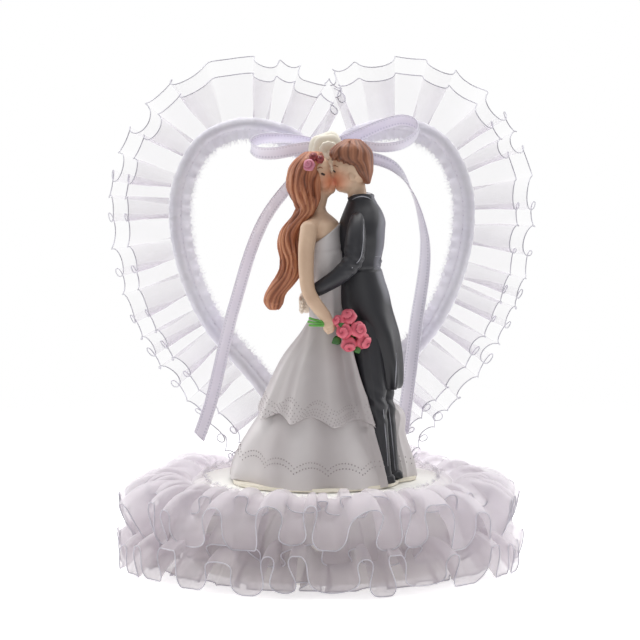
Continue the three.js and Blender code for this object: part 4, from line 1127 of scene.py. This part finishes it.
def leg(joints):
    """A trouser leg with a pressed crease, folds at the knee and a turned hem."""
    KNEE, HEM = 26, 2.5
    shell = fuse([limb(joints, 60, 24)], 0.3, 2)
    x, _, z = shell[0].T
    table = np.array(joints)[::-1]
    pressed = 0.2 * bell(x - np.interp(z, table[:, 2], table[:, 0]), 0.7)
    folds = 0.35 * np.sin(1.1 * z + 0.8 * x) * bell(z - KNEE, 5)
    return swollen(shell, pressed + folds + 0.15 * bell(z - HEM, 1.2))


def shoe(x, y):
    toe = [(x + 1.2, y + 0.3, 1.4, 1.7), (x - 1.2, y - 0.8, 1.0, 1.3), (x - 2.9, y - 1.8, 0.7, 0.6)]
    return fuse([limb(toe, 20, 14), ball((x + 1.6, y + 0.4, 0.6), (1.5, 1.6, 0.8))], 0.24)


near_leg = suit_piece("groom_leg_near", leg(NEAR_LEG), 0.35)
far_leg = suit_piece("groom_leg_far", leg(FAR_LEG), 0.35)
suit_piece("groom_shoe_near", shoe(21.7, -11.8))
suit_piece("groom_shoe_far", shoe(24.5, -2.6))
shirt_collar = loft([(91, 12.9, 0, 4.5, 4.9), (96.6, 12.9, 0, 3.6, 4.0)], 20)
couple_piece("groom_collar", fuse([closed(rounded(shirt_collar))], 0.3), shirt)

# Groom: head.
groom_face = skin_piece("groom_head", [
    ball((10.6, 0, 106.0), (6.0, 5.8, 6.4)), ball((8.8, 0, 106.2), (5.3, 5.0, 5.0)),
    ball((8.6, 0, 102.6), (4.6, 4.8, 6.0), -6), ball((6.8, 0, 99.0), (2.4, 2.6, 2.0)),
    ball((7.8, -2.4, 101.2), (2.8, 2.3, 2.8)), ball((7.8, 2.4, 101.2), (2.8, 2.3, 2.8)),
    ball((4.4, 0, 103.2), (1.2, 0.9, 1.6), -12), ball((5.6, 0, 100.2), (1.9, 2.1, 1.7)),
    ball((9.9, -5.2, 102.6), (1.1, 0.5, 1.6), 10), ball((9.9, 5.2, 102.6), (1.1, 0.5, 1.6), 10),
    limb([(11.4, 0, 99, 3.2), (12.9, 0, 90, 3.2)], 10), ball((9.4, 0, 99.4), (3.4, 3.6, 2.0))], 0.26, 4)
CROP = [(100, 15.3, 0, 0.8, 2.8), (102, 14.6, 0, 2.0, 5.0), (104, 13.6, 0, 3.5, 6.2),
        (106.4, 12.4, 0, 4.8, 6.6), (108.4, 10.3, 0, 6.9, 6.8), (110.8, 9.7, 0, 7.1, 6.8),
        (113, 9.8, 0, 5.2, 5.4), (114.8, 10.2, 0, 2.6, 2.8)]
fringe = []
for k in range(5):
    joints = [(9.4, -3.0 - 0.2 * k, 114.0, 0.8), (5.6 + 1.5 * k, -4.9 - 0.3 * k, 111.4, 0.9),
              (3.6 + 1.9 * k, -5.1 - 0.3 * k, 108.4 - 0.5 * k, 0.5)]
    fringe += [limb(joints, 16, 10), limb(mirrored(joints), 16, 10)]
shell, tone = strands(fuse([closed(rounded(loft(CROP))), *fringe], 0.27, 3), CROP, 17, 0.5, 0.08)
couple_piece("groom_hair", shell, brown, tone)

# Painted lines, as places in the image's pixels. They are laid on the shell that is seen there.
BRIDE_EYE = [(322.0, 173.8), (324.0, 174.6)]
BRIDE_BROW = [(317.6, 168.6), (320, 167.4), (322.6, 168.2)]
GROOM_EYE = [(334.0, 170.8), (335.2, 171.8)]
GROOM_BROW = [(332.8, 166.2), (335, 165.6), (338, 166.8)]
SLEEVE_EDGE = [(363.6, 219), (363.4, 232), (362.6, 246), (360.4, 258), (352, 268)]
BELT_EDGE = [(375.4, 256.6), (378, 256.8), (380.6, 257), (380.4, 262), (380, 266.4), (377.6, 266.4)]
VENT = [(396.4, 353), (396.2, 365), (395.6, 378), (395, 387)]
NEAR_LEG_EDGE = [(382.6, 397), (383.8, 416), (386.4, 444), (388.0, 466)]
FAR_LEG_EDGE = [(388.2, 404), (390.6, 424), (393.2, 450), (395.2, 470)]
COLLAR_EDGE = [(352.4, 199.4), (357, 197.2), (362.4, 196.4), (367.6, 197.4), (371.2, 199.6)]
COAT_FRONT = [(366, 330), (371, 346), (376, 362), (380, 378), (382, 388)]
HIGHLIGHT_WIDTH = 0.2


def painted_line(shell, pixels, radius):
    """A thin line with pointed ends."""
    spots = seen_at(shell, pixels)
    sizes = radius * np.sin(np.linspace(0.5, math.pi - 0.5, len(spots)))
    return limb(np.c_[spots, sizes], 40, 8)


def face_line(name, shell, pixels, radius, finish):
    """A line on the near side of a head and its mirror image on the far side."""
    points, faces = painted_line(shell, pixels, radius)
    far = points * np.array([1, -1, 1]), [face[::-1] for face in faces]
    make(name, joined([(points, faces), far]), finish, origin=FIGURE)


def highlight_lines(name, *lines):
    """Painted highlights: light lines along the edges of the black suit, each a shell and its pixels."""
    strokes = [painted_line(shell, pixels, HIGHLIGHT_WIDTH) for shell, pixels in lines]
    make(name, joined(strokes), edge_highlight, origin=FIGURE)


face_line("bride_eyes", bride_face, BRIDE_EYE, 0.8, eye_dark)
face_line("bride_brows", bride_face, BRIDE_BROW, 0.22, brow_brown)
face_line("groom_eyes", groom_face, GROOM_EYE, 0.7, eye_dark)
face_line("groom_brows", groom_face, GROOM_BROW, 0.2, brow_brown)
# Painted highlights along the edges of the coat, sleeve and trousers.
highlight_lines("coat_highlight_lines", *[(jacket, line) for line in (COLLAR_EDGE, BELT_EDGE, VENT, COAT_FRONT)])
highlight_lines("sleeve_highlight_line", (near_sleeve, SLEEVE_EDGE))
highlight_lines("trouser_highlight_lines", (near_leg, NEAR_LEG_EDGE), (far_leg, FAR_LEG_EDGE))


# Bow: one narrow ribbon with a ladder of holes along each edge, and a rolled rose on its knot.
KNOT = np.array([0, 17.9, CLEFT_HEIGHT + 1.6])
RIBBON, THICK, PICOT_PITCH = 6.0, 0.28, 1.05
HOLE_ROW, HOLE_HALF, SATIN_PITCH = 2.0, 0.36, 0.4


def satin_ribbon():
    """Satin whose colour has a ladder of holes near each edge, painted as darker shade rather than cut. Its
    map runs along and across it.
    """
    satin = Finish("satin_ribbon", [(232, 227, 243), (244, 240, 251)], (0.32, 0.45), 300, 0.2, source="UV",
                   Sheen_Weight=0.4)
    apart = add_node(satin.tree, "SeparateXYZ", {0: satin.place}).outputs

    def off(value, target):
        return satin.math("ABSOLUTE", satin.math("SUBTRACT", value, target * MM))

    from_middle = off(apart["Y"], RIBBON / 2)
    in_row = satin.math("LESS_THAN", off(from_middle, HOLE_ROW), HOLE_HALF * MM)
    wave = satin.math("SINE", satin.math("MULTIPLY", apart["X"], TURN / (PICOT_PITCH * MM)))
    rung = satin.math("GREATER_THAN", wave, -0.1)
    # The holes are painted shade: darker spots in the colour, not openings.
    satin.tint(satin.math("MULTIPLY", in_row, rung), (214, 211, 226))
    satin.threads(SATIN_PITCH)
    return satin.material


satin = satin_ribbon()


def ribbon(name, points, wide, slant=0.0):
    """A flat ribbon along points given from the knot, with a picot edge. Its end is cut on a slant.
    wide gives the direction across the ribbon at shares of its length: [share, x, y, z]."""
    ROW, COLUMNS, PICOT, CUP, CUT = 0.26, 11, 0.13, 0.35, 8
    points, wide = np.asarray(points, float), np.asarray(wide, float)
    length = lengths(points).sum()
    rows = int(length / ROW)
    line = walk(points, rows) + KNOT
    along = unit(np.gradient(line, axis=0))
    face = unit(np.cross(through(wide[:, 0], wide[:, 1:], np.linspace(0, 1, rows)), along))
    edge = np.cross(along, face)
    mm = np.linspace(0, length, rows)
    picot = PICOT * np.cos(TURN * mm / PICOT_PITCH)
    across = np.linspace(-1, 1, COLUMNS)
    cut = slant * np.clip((mm - length + CUT) / CUT, 0, 1)
    top, under = [], []
    for a in across:
        out = a * (RIBBON / 2 + picot * (abs(a) > 0.9))
        middle = line + edge * out[:, None] + along * (a * cut)[:, None]
        cup = CUP * (1 - a * a)
        top.append(middle + face * (cup + THICK / 2))
        under.append(middle + face * (cup - THICK / 2))
    rings = np.stack(top + under[::-1], 1)
    flat = np.r_[across, across[::-1]] * RIBBON / 2 + RIBBON / 2
    uv = np.stack(np.meshgrid(mm, flat, indexing="ij"), -1).reshape(-1, 2)
    uv = np.concatenate([uv, [[0, RIBBON / 2], [length, RIBBON / 2]]])
    make(name, closed(rings), satin, [name], uv=uv)


LOOP_LEFT = [(-1, -0.4, 2.4), (-9, -0.2, 3.7), (-16, 0, 4.0), (-21.6, -0.4, 3.5), (-24.6, -2, 1.6),
             (-22.4, -4.4, -0.6), (-16.6, -5.2, -1.0), (-9.4, -4.8, 0.2), (-1, -3, 1.2)]
LOOP_RIGHT = [(1, -0.4, 0.6), (9, -0.2, 3.4), (15.5, 0, 6.3), (21.5, 0, 8.8), (27.5, -0.4, 10.2),
              (31.6, -1.4, 9.2), (32.8, -2.8, 6.9), (31, -4.2, 4.0), (26.6, -5, 1.7), (20.5, -5, 1.0),
              (12, -4.4, 1.8), (1, -3, 0.6)]
TAIL_LEFT = [(-2, -1, -2), (-19.6, -3, -23.5), (-30, -4, -53), (-38.6, -5, -87.7), (-42.5, -5.5, -99)]
TAIL_RIGHT = [(2, -1, -1), (25.2, -2.5, -6.2), (35.1, -3.5, -28.7), (32, -4.5, -63.4), (27.9, -5, -96.5)]
ribbon("bow_loop_left", LOOP_LEFT, [(0, 0, -0.9, 0.44), (0.5, 0, -0.75, 0.66), (1, 0, -0.66, 0.75)])
ribbon("bow_loop_right", LOOP_RIGHT, [(0, -0.1, -0.62, 0.78), (0.5, 0, -0.8, 0.6), (1, 0, -0.85, 0.52)])
ribbon("bow_tail_left", TAIL_LEFT, [(0, 0.58, 0.8, -0.35), (1, 0.7, 0.7, -0.1)], 1.2)
ribbon("bow_tail_right", TAIL_RIGHT, [(0, 0.14, 0.7, 0.7), (0.2, 0.3, 0.85, 0.4), (0.28, 0, 1, 0),
                                      (0.46, -0.52, 0.85, -0.05), (1, -0.7, 0.72, -0.1)], -1.2)
wrap = limb([(-2.6, 0, -2.6, 1.2), (0, -2.2, 0, 1.5), (2.4, 0, 2.6, 1.2)])
knot = fuse([ball((0, 0, 0), 3.2), wrap], 0.25)
knot = swollen(knot, 0.16 * np.sin(3.2 * (knot[0][:, 0] + 0.8 * knot[0][:, 2])))
knot_uv = np.stack([knot[0][:, 2], np.clip(RIBBON / 2 + 0.3 * knot[0][:, 0], 1.8, 4.2)], 1)
make("bow_knot", knot, satin, ["bow_knot"], KNOT, uv=knot_uv)
ROSE = [1.8, 11.2, KNOT[2] - 1.4]
(rose_points, rose_faces), tone = flower((0, 0, 0), 7.6, (0, -1, 0.1), 0.2, 5)
rose = rose_points * [0.86, 0.62, 1], rose_faces
make("ribbon_rose", rose, cream, ["ribbon_rose"], ROSE, tone)


# CAD pieces that keep their own shape.
KEPT = {
    "base_drum": paint("ivory_plastic", [(253, 251, 246), (255, 254, 250)], (0.35, 0.5), 160, 0.06),
    "figurine_plinth": paint("plinth_ivory", [(230, 223, 206), (243, 237, 223)], SEMI, 300, 0.08),
    "heart_wire": paint("wire_steel", [(150, 152, 156), (178, 180, 184)], (0.25, 0.4), 700, 0.1,
                        Metallic=1.0),
    "wire_glue": paint("hot_glue", [(222, 214, 190), (240, 234, 216)], (0.2, 0.35), 300, 0.3)}
for node, finish in KEPT.items():
    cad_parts[node].data.materials.clear()
    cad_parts[node].data.materials.append(finish)


# Floor, which fades out away from the part, in metres.
FLOOR_FADE = (0.09, 0.42)
floor = bpy.data.objects.new("floor", bpy.data.meshes.new("floor"))
floor.data.from_pydata([(-0.9, -1.2, 0), (0.9, -1.2, 0), (0.9, 0.9, 0), (-0.9, 0.9, 0)], [], [(0, 1, 2, 3)])
pale = Finish("pale_floor", [(252, 252, 252), (255, 255, 255)], (0.7, 0.8), 40, 0.02,
              Emission_Strength=0.45, Emission_Color=(1, 1, 1, 1))
pale.feed("Alpha", pale.faded(pale.distance((0, 0, 0)), FLOOR_FADE, (1, 0)))
floor.data.materials.append(pale.material)
scene.collection.objects.link(floor)
